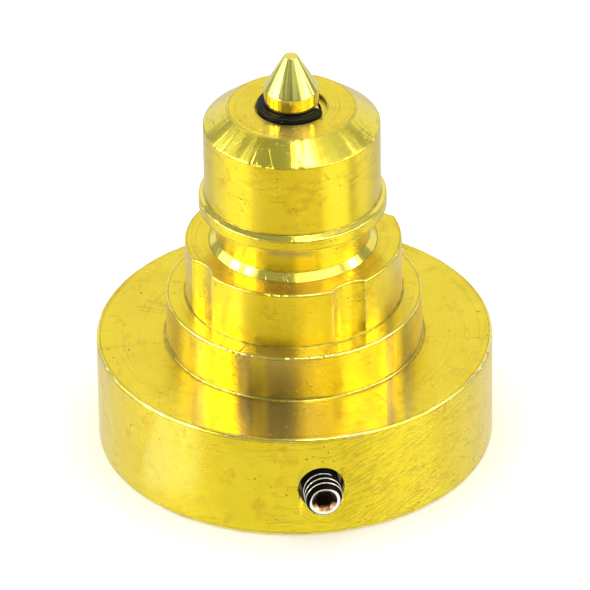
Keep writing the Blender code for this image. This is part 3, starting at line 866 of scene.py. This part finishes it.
def housing_outline():
    """Corners of the housing's outside as (r, z, corner radius, look), from the base up."""
    return [
        (FLANGE_R, 0.0, 0.35 * MM, 1.0),
        (FLANGE_R, FLANGE_TOP, 0.3 * MM, 1.0),
        (LOWER_BARREL_R, FLANGE_TOP, 0.3 * MM, -0.8),
        (LOWER_BARREL_R, LOWER_BARREL_TOP, 0.2 * MM, 1.0),
        (UPPER_BARREL_R, LOWER_BARREL_TOP, 0.12 * MM, -1.0),
        (UPPER_BARREL_R, UPPER_BARREL_TOP, 0.13 * MM, 1.0),
        (NECK_R + NECK_CONE, UPPER_BARREL_TOP, 0.06 * MM, -1.0),
        (NECK_R, UPPER_BARREL_TOP + NECK_CONE, 0.06 * MM, -0.8),
        (NECK_R, RIB_BOTTOM, 0.15 * MM, -1.0),
        (RIB_R, RIB_BOTTOM, 0.1 * MM, 1.0),
        (RIB_R, RIB_TOP, 0.1 * MM, 1.0),
        (NOSE_R, NOSE_BOTTOM, 0.1 * MM, -1.0),
        (NOSE_R, NOSE_SHOULDER, 0.09 * MM, 1.0),
        (NOSE_TOP_R, NOSE_TOP, 0.1 * MM, 1.0),
    ]


def housing_bores():
    edge = 0.08 * MM
    return [
        (RING_RECESS_R, NOSE_TOP, 0.07 * MM, 1.0),
        (RING_RECESS_R, RING_RECESS_FLOOR, edge, -0.5),
        (NOSE_BORE_R, RING_RECESS_FLOOR, edge, 0.0),
        (NOSE_BORE_R, UPPER_SEAT_TOP + RELIEF_DEPTH, edge, 0.0),
        (UPPER_RELIEF_R, UPPER_SEAT_TOP + RELIEF_DEPTH, edge, 0.0),
        (UPPER_RELIEF_R, UPPER_SEAT_TOP, edge, 0.0),
        (UPPER_SEAT_R, UPPER_SEAT_TOP, edge, 0.0),
        (UPPER_SEAT_R, UPPER_SEAT_BOTTOM, edge, 0.0),
        (MIDDLE_BORE_R, UPPER_SEAT_BOTTOM, edge, 0.0),
        (MIDDLE_BORE_R, LOWER_SEAT_TOP + RELIEF_DEPTH, edge, 0.0),
        (LOWER_RELIEF_R, LOWER_SEAT_TOP + RELIEF_DEPTH, edge, 0.0),
        (LOWER_RELIEF_R, LOWER_SEAT_TOP, edge, 0.0),
        (LOWER_SEAT_R, LOWER_SEAT_TOP, edge, 0.0),
        (LOWER_SEAT_R, PLUG_THREAD_TOP, edge, 0.0),
        (PLUG_THREAD_R, PLUG_THREAD_TOP, edge, 0.0),
        (PLUG_THREAD_R, SOCKET_DEPTH, edge, 0.0),
        (SOCKET_R, SOCKET_DEPTH, edge, 0.0),
        (SOCKET_R, 0.6 * MM, 0.15 * MM, 0.5),
        (SOCKET_R + 0.6 * MM, 0.0, 0.15 * MM, 0.5),
    ]


def housing_rows():
    """The housing's rows as [r, z, kind, look, give], with extra rows where the flutes begin."""
    points = rounded_outline(housing_outline() + housing_bores())
    lip = LOWER_BARREL_TOP + FLUTE_LIP
    rows = []
    bore = False
    for index, (r, z, look, give) in enumerate(points):
        after = points[(index + 1) % len(points)]
        # Below the recess for the ring, the bores are dull, and painted darker as shade inside the housing.
        bore = bore or (r < RING_RECESS_R + 0.01 * MM and z < RING_RECESS_FLOOR - 0.05 * MM)
        kind = BORE if bore else kind_of((r, z), after)
        if kind == WALL and r > LOWER_BARREL_R + MM:
            kind = SIDE
        if kind == SLOPE and z < NOSE_BOTTOM + 0.05 * MM:
            kind = CONE
        rows.append([r, z, kind, look, give])
        on_barrel = abs(r - UPPER_BARREL_R) < 1e-7 and abs(after[0] - UPPER_BARREL_R) < 1e-7
        if on_barrel and z < lip < after[1]:
            rows.append([r, lip, FACE, 0.0, 0.0])
            rows.append([r, lip + 0.02 * MM, WALL, 0.0, 0.0])
    return rows


def edge_key(r, z):
    return round(r / MM, 1), round(z / MM, 1)


def make_housing(materials):
    rows = housing_rows()
    corners = flute_edges()
    angles = bearings_list(HOUSING_STEPS, corners)
    flute = [flute_radius(angle) for angle in angles]
    edges = [(edge_key(r, z), Vector((r, z))) for r, z, _, look in housing_outline() if look > 0]
    nicks = {key: edge_dents(22, 0.14 * MM, 0.24, place.x) for key, place in edges}
    nicks[edge_key(NOSE_R, NOSE_SHOULDER)] += [
        (radians(-14), 0.022, 0.2 * MM),
        (radians(-17), 0.03, 0.13 * MM),
        (radians(-24), 0.06, 0.07 * MM),
    ]
    nicks[edge_key(NOSE_TOP_R, NOSE_TOP)] += [(radians(-40), 0.02, 0.12 * MM), (radians(50), 0.03, 0.15 * MM)]
    nicks[edge_key(UPPER_BARREL_R, UPPER_BARREL_TOP)] += [
        (radians(-14), 0.016, 0.16 * MM),
        (radians(-9), 0.02, 0.18 * MM),
        (radians(-4), 0.012, 0.12 * MM),
    ]
    nicks[edge_key(LOWER_BARREL_R, LOWER_BARREL_TOP)] += [
        (radians(-25), 0.012, 0.18 * MM),
        (radians(-27.5), 0.012, 0.2 * MM),
    ]
    lip = LOWER_BARREL_TOP + FLUTE_LIP
    follow = 0.6 * MM
    mesh_rows = []
    wear_light_shade_rows = []
    kinds = []
    for r, z, kind, look, give in rows:
        near = None
        if give > 0 and kind != BORE:
            near = min(edges, key=lambda edge: (edge[1] - Vector((r, z))).length)
        inset = UPPER_BARREL_R - r
        fluted = kind != BORE and lip + 1e-6 < z < UPPER_BARREL_TOP + 1e-6 and -1e-6 < inset < follow
        ring = []
        worn_and_painted_light = []
        for angle, reach in zip(angles, flute):
            radius, height = r, z
            if fluted and reach < UPPER_BARREL_R - 1e-9:
                radius = reach - max(0.0, inset)
            tint = look
            if near is not None:
                key, corner = near
                burr = 0.009 * MM * (1 + wavy(angle, r, z, 1400)) + 0.03 * MM * max(0, wavy(angle, r, z, 4200))
                amount = (min(0.15 * MM, dent_at(nicks[key], angle)) + burr) * give
                slope = 0.7
                radius -= amount * slope
                height += amount * slope * (1 if corner.y < 1e-9 else -1)
                if look > 0:
                    # In places the edge is painted dark, as shade, instead of with its bright painted highlight.
                    shine = max(-0.6, min(1.0, 0.6 + 1.7 * wavy(angle, r, z, 320)))
                    tint = min(1.0, look * (0.5 + amount / (0.04 * MM))) * shine
            # The flutes' edges get the full worn look and painted highlight.
            if fluted and inset < 1e-6 and min(abs((angle - edge + pi) % tau - pi) for edge in corners) < 1e-6:
                tint = 1.0
            ring.append(on_bearing(angle, radius, height))
            worn_and_painted_light.append(tint)
        mesh_rows.append(ring)
        wear_light_shade_rows.append(worn_and_painted_light)
        kinds.append(kind)
    housing = grid_mesh("housing_body", mesh_rows, True, materials, kinds, wear_light_shade_rows)
    face_outward(housing)
    cutter = make_screw_hole_cutter(materials[-1])
    cut = housing.modifiers.new("screw hole", "BOOLEAN")
    cut.operation = "DIFFERENCE"
    cut.solver = "EXACT"
    cut.material_mode = "TRANSFER"
    cut.object = cutter
    settle(housing)
    bpy.data.objects.remove(cutter)
    weigh_normals(housing)
    settle(housing)
    return housing


# ================================================================ threads and the set screw
def screw_frame():
    """Turns the screw's own frame (Z out of the flange, 0 on its side) into the row frame."""
    outward = on_bearing(SCREW_BEARING, 1.0)
    turn = outward.to_track_quat("Z", "Y").to_matrix().to_4x4()
    return Matrix.Translation(on_bearing(SCREW_BEARING, FLANGE_R, SCREW_Z)) @ turn


def thread_height(angle, height, pitch):
    """The thread's form, 0 at the root and 1 at the crest, at a place on a right-hand screw."""
    phase = (height / pitch - angle / tau) % 1.0
    ramp = abs(phase - 0.5) * 2
    return min(1.0, max(0.0, (ramp - 0.25) / 0.62))


def thread_rows(low, high, root_r, depth, pitch, steps, spacing, low_end_r=None, high_end_r=None):
    """Rows of a threaded cylinder. A cone at 45 degrees cuts each end down to that end's radius."""
    count = ceil((high - low) / spacing)
    rows = []
    roots = []
    for index in range(count + 1):
        height = low + (high - low) * index / count
        limit = root_r + depth
        if low_end_r is not None:
            limit = min(limit, low_end_r + (height - low))
        if high_end_r is not None:
            limit = min(limit, high_end_r + (high - height))
        ring = []
        deep = []
        for step in range(steps):
            angle = tau * step / steps
            radius = min(root_r + depth * thread_height(angle, height, pitch), limit)
            ring.append(Vector((radius * cos(angle), radius * sin(angle), height)))
            deep.append(1.0 - (radius - root_r) / depth)
        rows.append(ring)
        roots.append(deep)
    return rows, roots


def circle_row(radius, height, steps):
    return [Vector((radius * cos(tau * i / steps), radius * sin(tau * i / steps), height)) for i in range(steps)]


def hexagon_row(across_flats, height, steps):
    ring = []
    for step in range(steps):
        angle = tau * step / steps
        off = (angle % (pi / 3)) - pi / 6
        radius = across_flats / 2 / cos(off)
        ring.append(Vector((radius * cos(angle), radius * sin(angle), height)))
    return ring


def make_screw_hole_cutter(material):
    """Cuts the set screw's hole: a clear mouth, then a threaded bore through to the socket."""
    steps = 64
    inner_end = -(FLANGE_R - SOCKET_R) - 1.5 * MM
    rows, _ = thread_rows(
        inner_end, -SCREW_MOUTH_DEPTH, SCREW_HOLE_R - THREAD_DEPTH, THREAD_DEPTH, THREAD_PITCH, steps, 0.09 * MM
    )
    mouth_lip = 0.07 * MM
    tail = [
        circle_row(SCREW_MOUTH_R, -SCREW_MOUTH_DEPTH + 0.25 * MM, steps),
        circle_row(SCREW_MOUTH_R, -mouth_lip - 0.05 * MM, steps),
        circle_row(SCREW_MOUTH_R + mouth_lip, 0.0, steps),
        circle_row(SCREW_MOUTH_R + 2 * mouth_lip, mouth_lip, steps),
        circle_row(SCREW_MOUTH_R + 2 * mouth_lip, 2 * MM, steps),
    ]
    rows = [[Vector((0, 0, inner_end))]] + rows + tail + [[Vector((0, 0, 2 * MM))]]
    edge_wear_light_shade = [0.0] * len(rows)
    cutter = grid_mesh("screw_hole_cutter", rows, False, [material], [0] * len(rows), edge_wear_light_shade)
    cutter.data.transform(screw_frame())
    face_outward(cutter)
    return cutter


def make_set_screw(thread_steel, socket_steel):
    steps = SCREW_STEPS
    outer_end = SCREW_OUT
    inner_end = SCREW_OUT - SCREW_LENGTH
    root_r = SCREW_R - THREAD_DEPTH
    rows, roots = thread_rows(
        inner_end + 0.2 * MM, outer_end, root_r, THREAD_DEPTH, THREAD_PITCH, steps, 0.045 * MM, root_r, SCREW_END_R
    )
    head = [
        circle_row(root_r - 0.01 * MM, outer_end, steps),
        circle_row(SCREW_SINK_R + 0.03 * MM, outer_end, steps),
        circle_row(SCREW_SINK_R - 0.02 * MM, outer_end - 0.05 * MM, steps),
        hexagon_row(HEX_ACROSS_FLATS, outer_end - 0.36 * MM, steps),
        hexagon_row(HEX_ACROSS_FLATS, outer_end - 0.44 * MM, steps),
        hexagon_row(HEX_ACROSS_FLATS, outer_end - HEX_DEPTH, steps),
        circle_row(1.0 * MM, outer_end - HEX_DEPTH - 0.05 * MM, steps),
        [Vector((0, 0, outer_end - HEX_DEPTH - 0.5 * MM))],
    ]
    point = [
        [Vector((0, 0, inner_end + 0.6 * MM))],
        circle_row(0.9 * MM, inner_end + 0.12 * MM, steps),
        circle_row(1.1 * MM, inner_end, steps),
        circle_row(root_r - 0.15 * MM, inner_end + 0.1 * MM, steps),
    ]
    all_rows = point + rows + head
    # Shade is painted black on the part of the thread that stays in the hole, and on the bevel at the outer end.
    for ring, row in zip(roots, rows):
        in_painted_shade = row[0].z < 0.25 * MM or row[0].z > outer_end - 0.16 * MM
        ring[:] = [1.0] * steps if in_painted_shade else ring
    roots[-1] = [0.0] * steps
    dark = [0.3, 0.2, 0.0, 0.0] + roots + [0.0, 0.0, 0.0, 0.2, 0.3, 1.0, 1.0, 1.0]
    kinds = [0] * (len(point) + len(rows) + 2) + [1] * (len(head) - 2)
    screw = grid_mesh("set_screw_threaded", all_rows, False, [thread_steel, socket_steel], kinds, dark)
    screw.data.attributes["edge_wear_light_shade"].name = "root_and_shade"
    screw.data.transform(screw_frame())
    face_outward(screw)
    weigh_normals(screw)
    settle(screw)
    return screw


# ================================================================ spindle, ring and plug
def make_spindle(materials):
    edge = 0.08 * MM
    corners = [
        (0.0, SPINDLE_BOTTOM, 0, 0),
        (JOURNAL_R, SPINDLE_BOTTOM, 0.3 * MM, 0.3),
        (JOURNAL_R, CLIP_GROOVE_BOTTOM, edge, 0.2),
        (CLIP_GROOVE_R, CLIP_GROOVE_BOTTOM, edge, 0.0),
        (CLIP_GROOVE_R, CLIP_GROOVE_TOP, edge, 0.0),
        (JOURNAL_R, CLIP_GROOVE_TOP, edge, 0.2),
        (JOURNAL_R, COLLAR_BOTTOM, edge, 0.0),
        (COLLAR_R, COLLAR_BOTTOM, 0.15 * MM, 0.3),
        (COLLAR_R, COLLAR_TOP, 0.15 * MM, 0.3),
        (PIN_R, COLLAR_TOP, 0.15 * MM, 0.0),
        (PIN_R, RING_GROOVE_BOTTOM, edge, 0.3),
        (RING_GROOVE_R, RING_GROOVE_BOTTOM, edge, 0.0),
        (RING_GROOVE_R, RING_GROOVE_TOP, edge, 0.0),
        (PIN_R, RING_GROOVE_TOP, edge, 0.6),
        (PIN_R, CONE_BOTTOM, 0.05 * MM, 0.5),
        (TIP_R, TIP_Z, 0.07 * MM, 1.0),
        (0.0, TIP_Z, 0, 0),
    ]
    points = rounded_outline(corners)
    angles = bearings_list(SPINDLE_STEPS)
    nicks = [(radians(-1), 0.03, 0.05 * MM)]
    rows = []
    wear_light_shade_rows = []
    kinds = []
    for index, (r, z, look, give) in enumerate(points):
        if r < 1e-9:
            rows.append([Vector((0, 0, z))])
            wear_light_shade_rows.append(0.0)
            kinds.append(FACE)
            continue
        ring = []
        for angle in angles:
            amount = 0.006 * MM * (1 + wavy(angle, r, z, 1800)) * give
            if abs(z - CONE_BOTTOM) < 0.3 * MM:
                amount += dent_at(nicks, angle) * give
            ring.append(on_bearing(angle, r - amount, z - 0.4 * amount))
        rows.append(ring)
        wear_light_shade_rows.append(float(look))
        after = points[min(index + 1, len(points) - 1)]
        kinds.append(kind_of((r, z), after))
    spindle = grid_mesh("spindle_point", rows, False, materials, kinds, wear_light_shade_rows)
    face_outward(spindle)
    weigh_normals(spindle)
    settle(spindle)
    return spindle


def make_keeper_ring(material):
    """The split ring: a rounded section swept from one end to the other, with softened ends."""
    middle_r = (RING_INNER_R + RING_OUTER_R) / 2
    middle_z = (RING_LOW.z + RING_HIGH.z) / 2
    half_r = (RING_OUTER_R - RING_INNER_R) / 2
    half_z = (RING_HIGH.z - RING_LOW.z) / 2
    around = 48
    stations = 150
    start = RING_GAP_START + RING_GAP
    sweep = tau - RING_GAP
    soften = 0.22 * MM / middle_r
    points = []
    for station in range(stations + 1):
        share = station / stations
        angle = start + sweep * share
        from_end = min(share, 1 - share) * sweep
        fit = min(1.0, from_end / soften)
        grow = 0.84 + 0.16 * sqrt(max(0.0, 1 - (1 - fit) ** 2))
        for step in range(around):
            turn = tau * step / around
            # A squircle: flat sides with round corners.
            c, s = cos(turn), sin(turn)
            out = abs(c) ** 0.55 * (1 if c >= 0 else -1)
            rise = abs(s) ** 0.55 * (1 if s >= 0 else -1)
            # A shallow lengthwise groove on the shoulder that faces up and out.
            groove = 1 - 0.13 * exp(-(((turn - RING_GROOVE_TURN) / 0.2) ** 2))
            ripple = groove * (1 + 0.02 * noise.noise(Vector((angle * 6, turn * 2, 0.5))))
            radius = middle_r + half_r * out * min(1.0, grow * ripple)
            height = middle_z + half_z * rise * min(1.0, grow * ripple)
            points.append(on_bearing(angle, radius, height))
    faces = []
    for station in range(stations):
        for step in range(around):
            a = station * around + step
            b = station * around + (step + 1) % around
            faces.append((a, b, b + around, a + around))
    faces.append(tuple(reversed(range(around))))
    faces.append(tuple(range(stations * around, (stations + 1) * around)))
    mesh = bpy.data.meshes.new("keeper_ring_split")
    mesh.from_pydata(points, [], faces)
    mesh.materials.append(material)
    mesh.polygons.foreach_set("use_smooth", [True] * len(faces))
    ring = bpy.data.objects.new("keeper_ring_split", mesh)
    bpy.context.scene.collection.objects.link(ring)
    face_outward(ring)
    mesh.set_sharp_from_angle(angle=radians(50))
    return ring


# ================================================================ bearings, sleeve, clip, plug and pad
def turned_piece(name, corners, steps, material, closed=True, place=None):
    """A turned piece about the spindle axis, or about the Z axis of another place, with eased edges."""
    rows = []
    looks = []
    for r, z, look, _ in rounded_outline(corners):
        rows.append([Vector((0, 0, z))] if r < 1e-9 else [on_bearing(tau * i / steps, r, z) for i in range(steps)])
        looks.append(float(look))
    piece = grid_mesh(name, rows, closed, [material], [0] * len(rows), looks)
    if place is not None:
        piece.data.transform(place)
    face_outward(piece)
    return piece


def cut_round_holes(piece, material, holes):
    """Cuts round holes, each (place, radius, length): the hole runs from the place along its Z."""
    for index, (place, radius, length) in enumerate(holes):
        corners = [(0.0, 0.0, 0, 0), (radius, 0.0, 0, 0), (radius, length, 0, 0), (0.0, length, 0, 0)]
        cutter = turned_piece(f"{piece.name}_cutter", corners, 48, material, False, place)
        cut = piece.modifiers.new(f"hole {index + 1}", "BOOLEAN")
        cut.operation = "DIFFERENCE"
        cut.solver = "EXACT"
        cut.object = cutter
        settle(piece)
        bpy.data.objects.remove(cutter)


def ease_edges(piece, width):
    """Breaks the sharp edges that a cut leaves."""
    bevel = piece.modifiers.new("eased edges", "BEVEL")
    bevel.width = width
    bevel.segments = 2
    bevel.limit_method = "ANGLE"
    bevel.angle_limit = radians(40)
    bevel.harden_normals = True
    settle(piece)
    piece.data.polygons.foreach_set("use_smooth", [True] * len(piece.data.polygons))
    piece.data.set_sharp_from_angle(angle=SHARP_ANGLE)


def race_corners(wall_r, bearing, side):
    """A bearing ring's section: side is 1 for the outer ring and -1 for the inner one."""
    low = bearing["bottom"]
    high = low + bearing["width"]
    middle = (low + high) / 2
    land_r = bearing["pitch_r"] + side * LAND_SHARE * bearing["ball_r"]
    groove_r = bearing["ball_r"] + BALL_GAP
    reach = acos(abs(land_r - bearing["pitch_r"]) / groove_r)
    corners = [
        (land_r, low, 0.12 * MM, 0.3),
        (wall_r, low, 1.5 * RACE_EDGE, 0.4),
        (wall_r, high, 1.5 * RACE_EDGE, 0.4),
        (land_r, high, 0.12 * MM, 0.3),
    ]
    steps = 20
    for step in range(steps + 1):
        turn = reach - 2 * reach * step / steps
        corners.append((bearing["pitch_r"] + side * groove_r * cos(turn), middle + groove_r * sin(turn), 0, 0))
    return corners


def make_cage(name, bearing, material):
    """The band that spaces the balls, with rounded edges above and below and a round pocket for each ball."""
    middle = bearing["bottom"] + bearing["width"] / 2
    half_height = bearing["cage_height"] / 2
    half_wall = bearing["cage_wall"] / 2
    pitch_r = bearing["pitch_r"]
    edge = 0.4 * half_wall
    corners = [
        (pitch_r - half_wall, middle - half_height, edge, 0.4),
        (pitch_r + half_wall, middle - half_height, edge, 0.4),
        (pitch_r + half_wall, middle + half_height, edge, 0.4),
        (pitch_r - half_wall, middle + half_height, edge, 0.4),
    ]
    cage = turned_piece(name, corners, RACE_STEPS, material)
    holes = []
    for index in range(bearing["balls"]):
        angle = tau * index / bearing["balls"]
        start = on_bearing(angle, pitch_r - bearing["cage_wall"], middle)
        turn = on_bearing(angle, 1.0).to_track_quat("Z", "Y").to_matrix().to_4x4()
        place = Matrix.Translation(start) @ turn
        holes.append((place, bearing["ball_r"] + POCKET_GAP, 2 * bearing["cage_wall"]))
    cut_round_holes(cage, material, holes)
    ease_edges(cage, 0.04 * MM)
    return cage


def make_balls(prefix, bearing, material):
    middle = bearing["bottom"] + bearing["width"] / 2
    balls = []
    for index in range(bearing["balls"]):
        name = f"{prefix}_ball_{index + 1}"
        bm = bmesh.new()
        bmesh.ops.create_icosphere(bm, subdivisions=4, radius=bearing["ball_r"])
        place = on_bearing(tau * index / bearing["balls"], bearing["pitch_r"], middle)
        bmesh.ops.translate(bm, verts=bm.verts, vec=place)
        mesh = bpy.data.meshes.new(f"{name}_lapped")
        bm.to_mesh(mesh)
        bm.free()
        mesh.polygons.foreach_set("use_smooth", [True] * len(mesh.polygons))
        mesh.materials.append(material)
        ball = bpy.data.objects.new(f"{name}_lapped", mesh)
        bpy.context.scene.collection.objects.link(ball)
        balls.append((ball, name))
    return balls


def make_sleeve(material):
    edge = 0.15 * MM
    corners = [
        (SLEEVE_INNER_R, SLEEVE_LOW.z, edge, 0.4),
        (SLEEVE_OUTER_R, SLEEVE_LOW.z, edge, 0.4),
        (SLEEVE_OUTER_R, SLEEVE_HIGH.z, edge, 0.4),
        (SLEEVE_INNER_R, SLEEVE_HIGH.z, edge, 0.4),
    ]
    return turned_piece("spacer_sleeve_turned", corners, RACE_STEPS, material)


def make_circlip(material):
    """A stamped clip: widest at the back and at its two lugs, each with a hole for the pliers."""
    stations = 120
    sweep = tau - CLIP_GAP
    lug = radians(24)
    waist = 0.55 * MM
    outer = []
    inner = []
    for station in range(stations + 1):
        angle = CLIP_GAP / 2 + sweep * station / stations
        from_end = min(station, stations - station) / stations * sweep
        # The band slims from the back towards the front, then widens again into the lugs.
        past_lug = min(1.0, max(0.0, (from_end - lug) / radians(16)))
        slim = waist * (1 + cos(angle)) * past_lug
        outer.append((angle, CLIP_OUTER_R - slim))
        inner.append((angle, CLIP_INNER_R))
    points = []
    for height in (CLIP_LOW.z, CLIP_HIGH.z):
        points += [on_bearing(angle, r, height) for angle, r in outer]
        points += [on_bearing(angle, r, height) for angle, r in inner]
    count = stations + 1
    faces = []
    for i in range(stations):
        for a, b in ((0, count), (3 * count, 2 * count), (count, 3 * count), (2 * count, 0)):
            faces.append((a + i, a + i + 1, b + i + 1, b + i))
    for i in (0, stations):
        faces.append((i, count + i, 3 * count + i, 2 * count + i))
    mesh = bpy.data.meshes.new("spindle_circlip_stamped")
    mesh.from_pydata(points, [], faces)
    mesh.materials.append(material)
    clip = bpy.data.objects.new("spindle_circlip_stamped", mesh)
    bpy.context.scene.collection.objects.link(clip)
    face_outward(clip)
    thickness = CLIP_HIGH.z - CLIP_LOW.z
    middle_r = (CLIP_INNER_R + CLIP_OUTER_R) / 2
    holes = []
    for side in (-1, 1):
        spot = on_bearing(side * (CLIP_GAP / 2 + lug / 2), middle_r, CLIP_LOW.z - thickness)
        holes.append((Matrix.Translation(spot), 0.45 * MM, 3 * thickness))
    cut_round_holes(clip, material, holes)
    ease_edges(clip, 0.05 * MM)
    return clip


def make_plug(material):
    """The threaded plug between the bearings and the socket, with two holes for a pin spanner."""
    low, high = PLUG_LOW.z, PLUG_HIGH.z
    pitch = 1.0 * MM
    depth = 0.5 * MM
    steps = 192
    bevel = PLUG_R - 0.4 * MM
    threads, _ = thread_rows(low, high, PLUG_R - depth, depth, pitch, steps, 0.07 * MM, bevel, bevel)
    edge = 0.15 * MM
    inside = [
        circle_row(PLUG_POCKET_R + edge, high, steps),
        circle_row(PLUG_POCKET_R, high - edge, steps),
        circle_row(PLUG_POCKET_R, PLUG_POCKET_FLOOR + edge, steps),
        circle_row(PLUG_POCKET_R - edge, PLUG_POCKET_FLOOR, steps),
        [Vector((0, 0, PLUG_POCKET_FLOOR))],
    ]
    under = [[Vector((0, 0, low))], circle_row(PLUG_R / 2, low, steps), circle_row(bevel - edge, low, steps)]
    rows = under + threads + inside
    plug = grid_mesh("retaining_plug_threaded", rows, False, [material], [0] * len(rows), [0.0] * len(rows))
    face_outward(plug)
    holes = []
    for side in (-1, 1):
        spot = Vector((side * PLUG_PIN_CIRCLE_R, 0, low - MM))
        holes.append((Matrix.Translation(spot), PLUG_PIN_HOLE_R, PLUG_PIN_HOLE_DEPTH + MM))
    cut_round_holes(plug, material, holes)
    weigh_normals(plug)
    settle(plug)
    return plug


def make_clamp_pad(material):
    """The brass pad, with a dimple where the screw's point bears and an eased face for the shaft."""
    outer_end = SCREW_OUT - SCREW_LENGTH - PAD_GAP
    inner_end = outer_end - PAD_LENGTH
    corners = [
        (0.0, inner_end, 0, 0),
        (PAD_R, inner_end, 0.3 * MM, 0.6),
        (PAD_R, outer_end, 0.12 * MM, 0.4),
        (1.3 * MM, outer_end, 0.1 * MM, 0.2),
        (0.0, outer_end - 0.35 * MM, 0, 0),
    ]
    return turned_piece("clamp_pad_turned", corners, 96, material, False, screw_frame())


# ================================================================ build
make_camera()
make_studio()

BRASS = (0.93, 0.735, 0.03)
BRASS_DEEP = (0.88, 0.67, 0.02)
# The slopes and cones take paler brass than the walls and faces: a painted reflection of the bright lights they
# face.
PALE_LIT_BRASS = (0.90, 0.76, 0.09)
PALE_LIT_BRASS_DEEP = (0.84, 0.69, 0.06)
brass_wall = turned_brass("brass_wall", BRASS, BRASS_DEEP, 0.26, "height", dark_reflections_painted=True)
brass_face = turned_brass("brass_face", BRASS, BRASS_DEEP, 0.24, "radius", anisotropy=1.0, dark_reflections_painted=True)
brass_slope = turned_brass("brass_slope", PALE_LIT_BRASS, PALE_LIT_BRASS_DEEP, 0.19, "height", 2.2, 0.8, 0.9)
# Darker brass for the bores: painted shade inside the housing.
brass_bore = turned_brass("brass_bore", (0.62, 0.44, 0.06), (0.48, 0.33, 0.05), 0.38, "height", 2.0, 0.4)
brass_side = turned_brass("brass_side", BRASS, BRASS_DEEP, 0.26, "height", rubbed=True)
brass_cone = turned_brass("brass_cone", (0.94, 0.80, 0.12), PALE_LIT_BRASS, 0.12, "height", 0.6, 0.6, 0.4)
point_wall = turned_brass("point_wall", (0.93, 0.76, 0.10), (0.88, 0.70, 0.08), 0.12, "height", 0.4, 0.6, 0.3)
point_face = turned_brass("point_face", (0.93, 0.78, 0.16), (0.88, 0.72, 0.12), 0.18, "radius", 0.5, 0.6, 0.3)
# The point's cone is paler too, as a painted reflection.
point_cone = turned_brass("point_cone", (0.90, 0.83, 0.19), (0.86, 0.78, 0.15), 0.10, "height", 0.4, 0.6, 0.3)
bearing_steel = steel("bearing_steel", (0.72, 0.73, 0.74), (0.64, 0.65, 0.66), 0.16)
cage_steel = steel("cage_steel", (0.58, 0.58, 0.56), (0.48, 0.47, 0.45), 0.34)
sleeve_steel = steel("sleeve_steel", (0.52, 0.53, 0.54), (0.42, 0.43, 0.44), 0.32)
clip_steel = steel("clip_steel", (0.10, 0.095, 0.09), (0.05, 0.05, 0.05), 0.36)
plug_steel = steel("plug_steel", (0.48, 0.48, 0.49), (0.38, 0.38, 0.38), 0.34)
pad_brass = turned_brass("pad_brass", (0.80, 0.62, 0.14), (0.70, 0.52, 0.10), 0.34, "height", 1.0, 0.2)

housing = make_housing([brass_wall, brass_face, brass_slope, brass_bore, brass_side, brass_cone, shaded_oily_hole()])
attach(housing, "housing")
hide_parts("housing")

spindle = make_spindle([point_wall, point_face, point_cone])
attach(spindle, "spindle")
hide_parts("spindle")

keeper = make_keeper_ring(black_ring_material())
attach(keeper, "spindle")
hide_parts("keeper_ring")

screw = make_set_screw(screw_thread_steel(), screw_socket_steel())
# The bright screw would smear a dark streak over the brushed brass round it.
screw.visible_glossy = False
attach(screw, "set_screw")
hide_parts("set_screw")

for prefix, bearing in (("lower", LOWER_BEARING), ("upper", UPPER_BEARING)):
    outer = race_corners(bearing["outside_r"], bearing, 1)
    outer_ring = turned_piece(f"{prefix}_outer_ring_ground", outer, RACE_STEPS, bearing_steel)
    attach(outer_ring, "housing")
    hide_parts(f"{prefix}_outer_ring")
    inner = race_corners(bearing["bore_r"], bearing, -1)
    inner_ring = turned_piece(f"{prefix}_inner_ring_ground", inner, RACE_STEPS, bearing_steel)
    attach(inner_ring, "spindle")
    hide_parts(f"{prefix}_inner_ring")
    cage = make_cage(f"{prefix}_cage_pierced", bearing, cage_steel)
    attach(cage, f"{prefix}_cage")
    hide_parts(f"{prefix}_cage")
    for ball, ball_node in make_balls(prefix, bearing, bearing_steel):
        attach(ball, f"{prefix}_cage")
        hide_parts(ball_node)

sleeve = make_sleeve(sleeve_steel)
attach(sleeve, "spindle")
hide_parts("spacer_sleeve")

clip = make_circlip(clip_steel)
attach(clip, "spindle")
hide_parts("spindle_circlip")

plug = make_plug(plug_steel)
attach(plug, "housing")
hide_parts("retaining_plug")

pad = make_clamp_pad(pad_brass)
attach(pad, "clamp_pad")
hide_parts("clamp_pad")
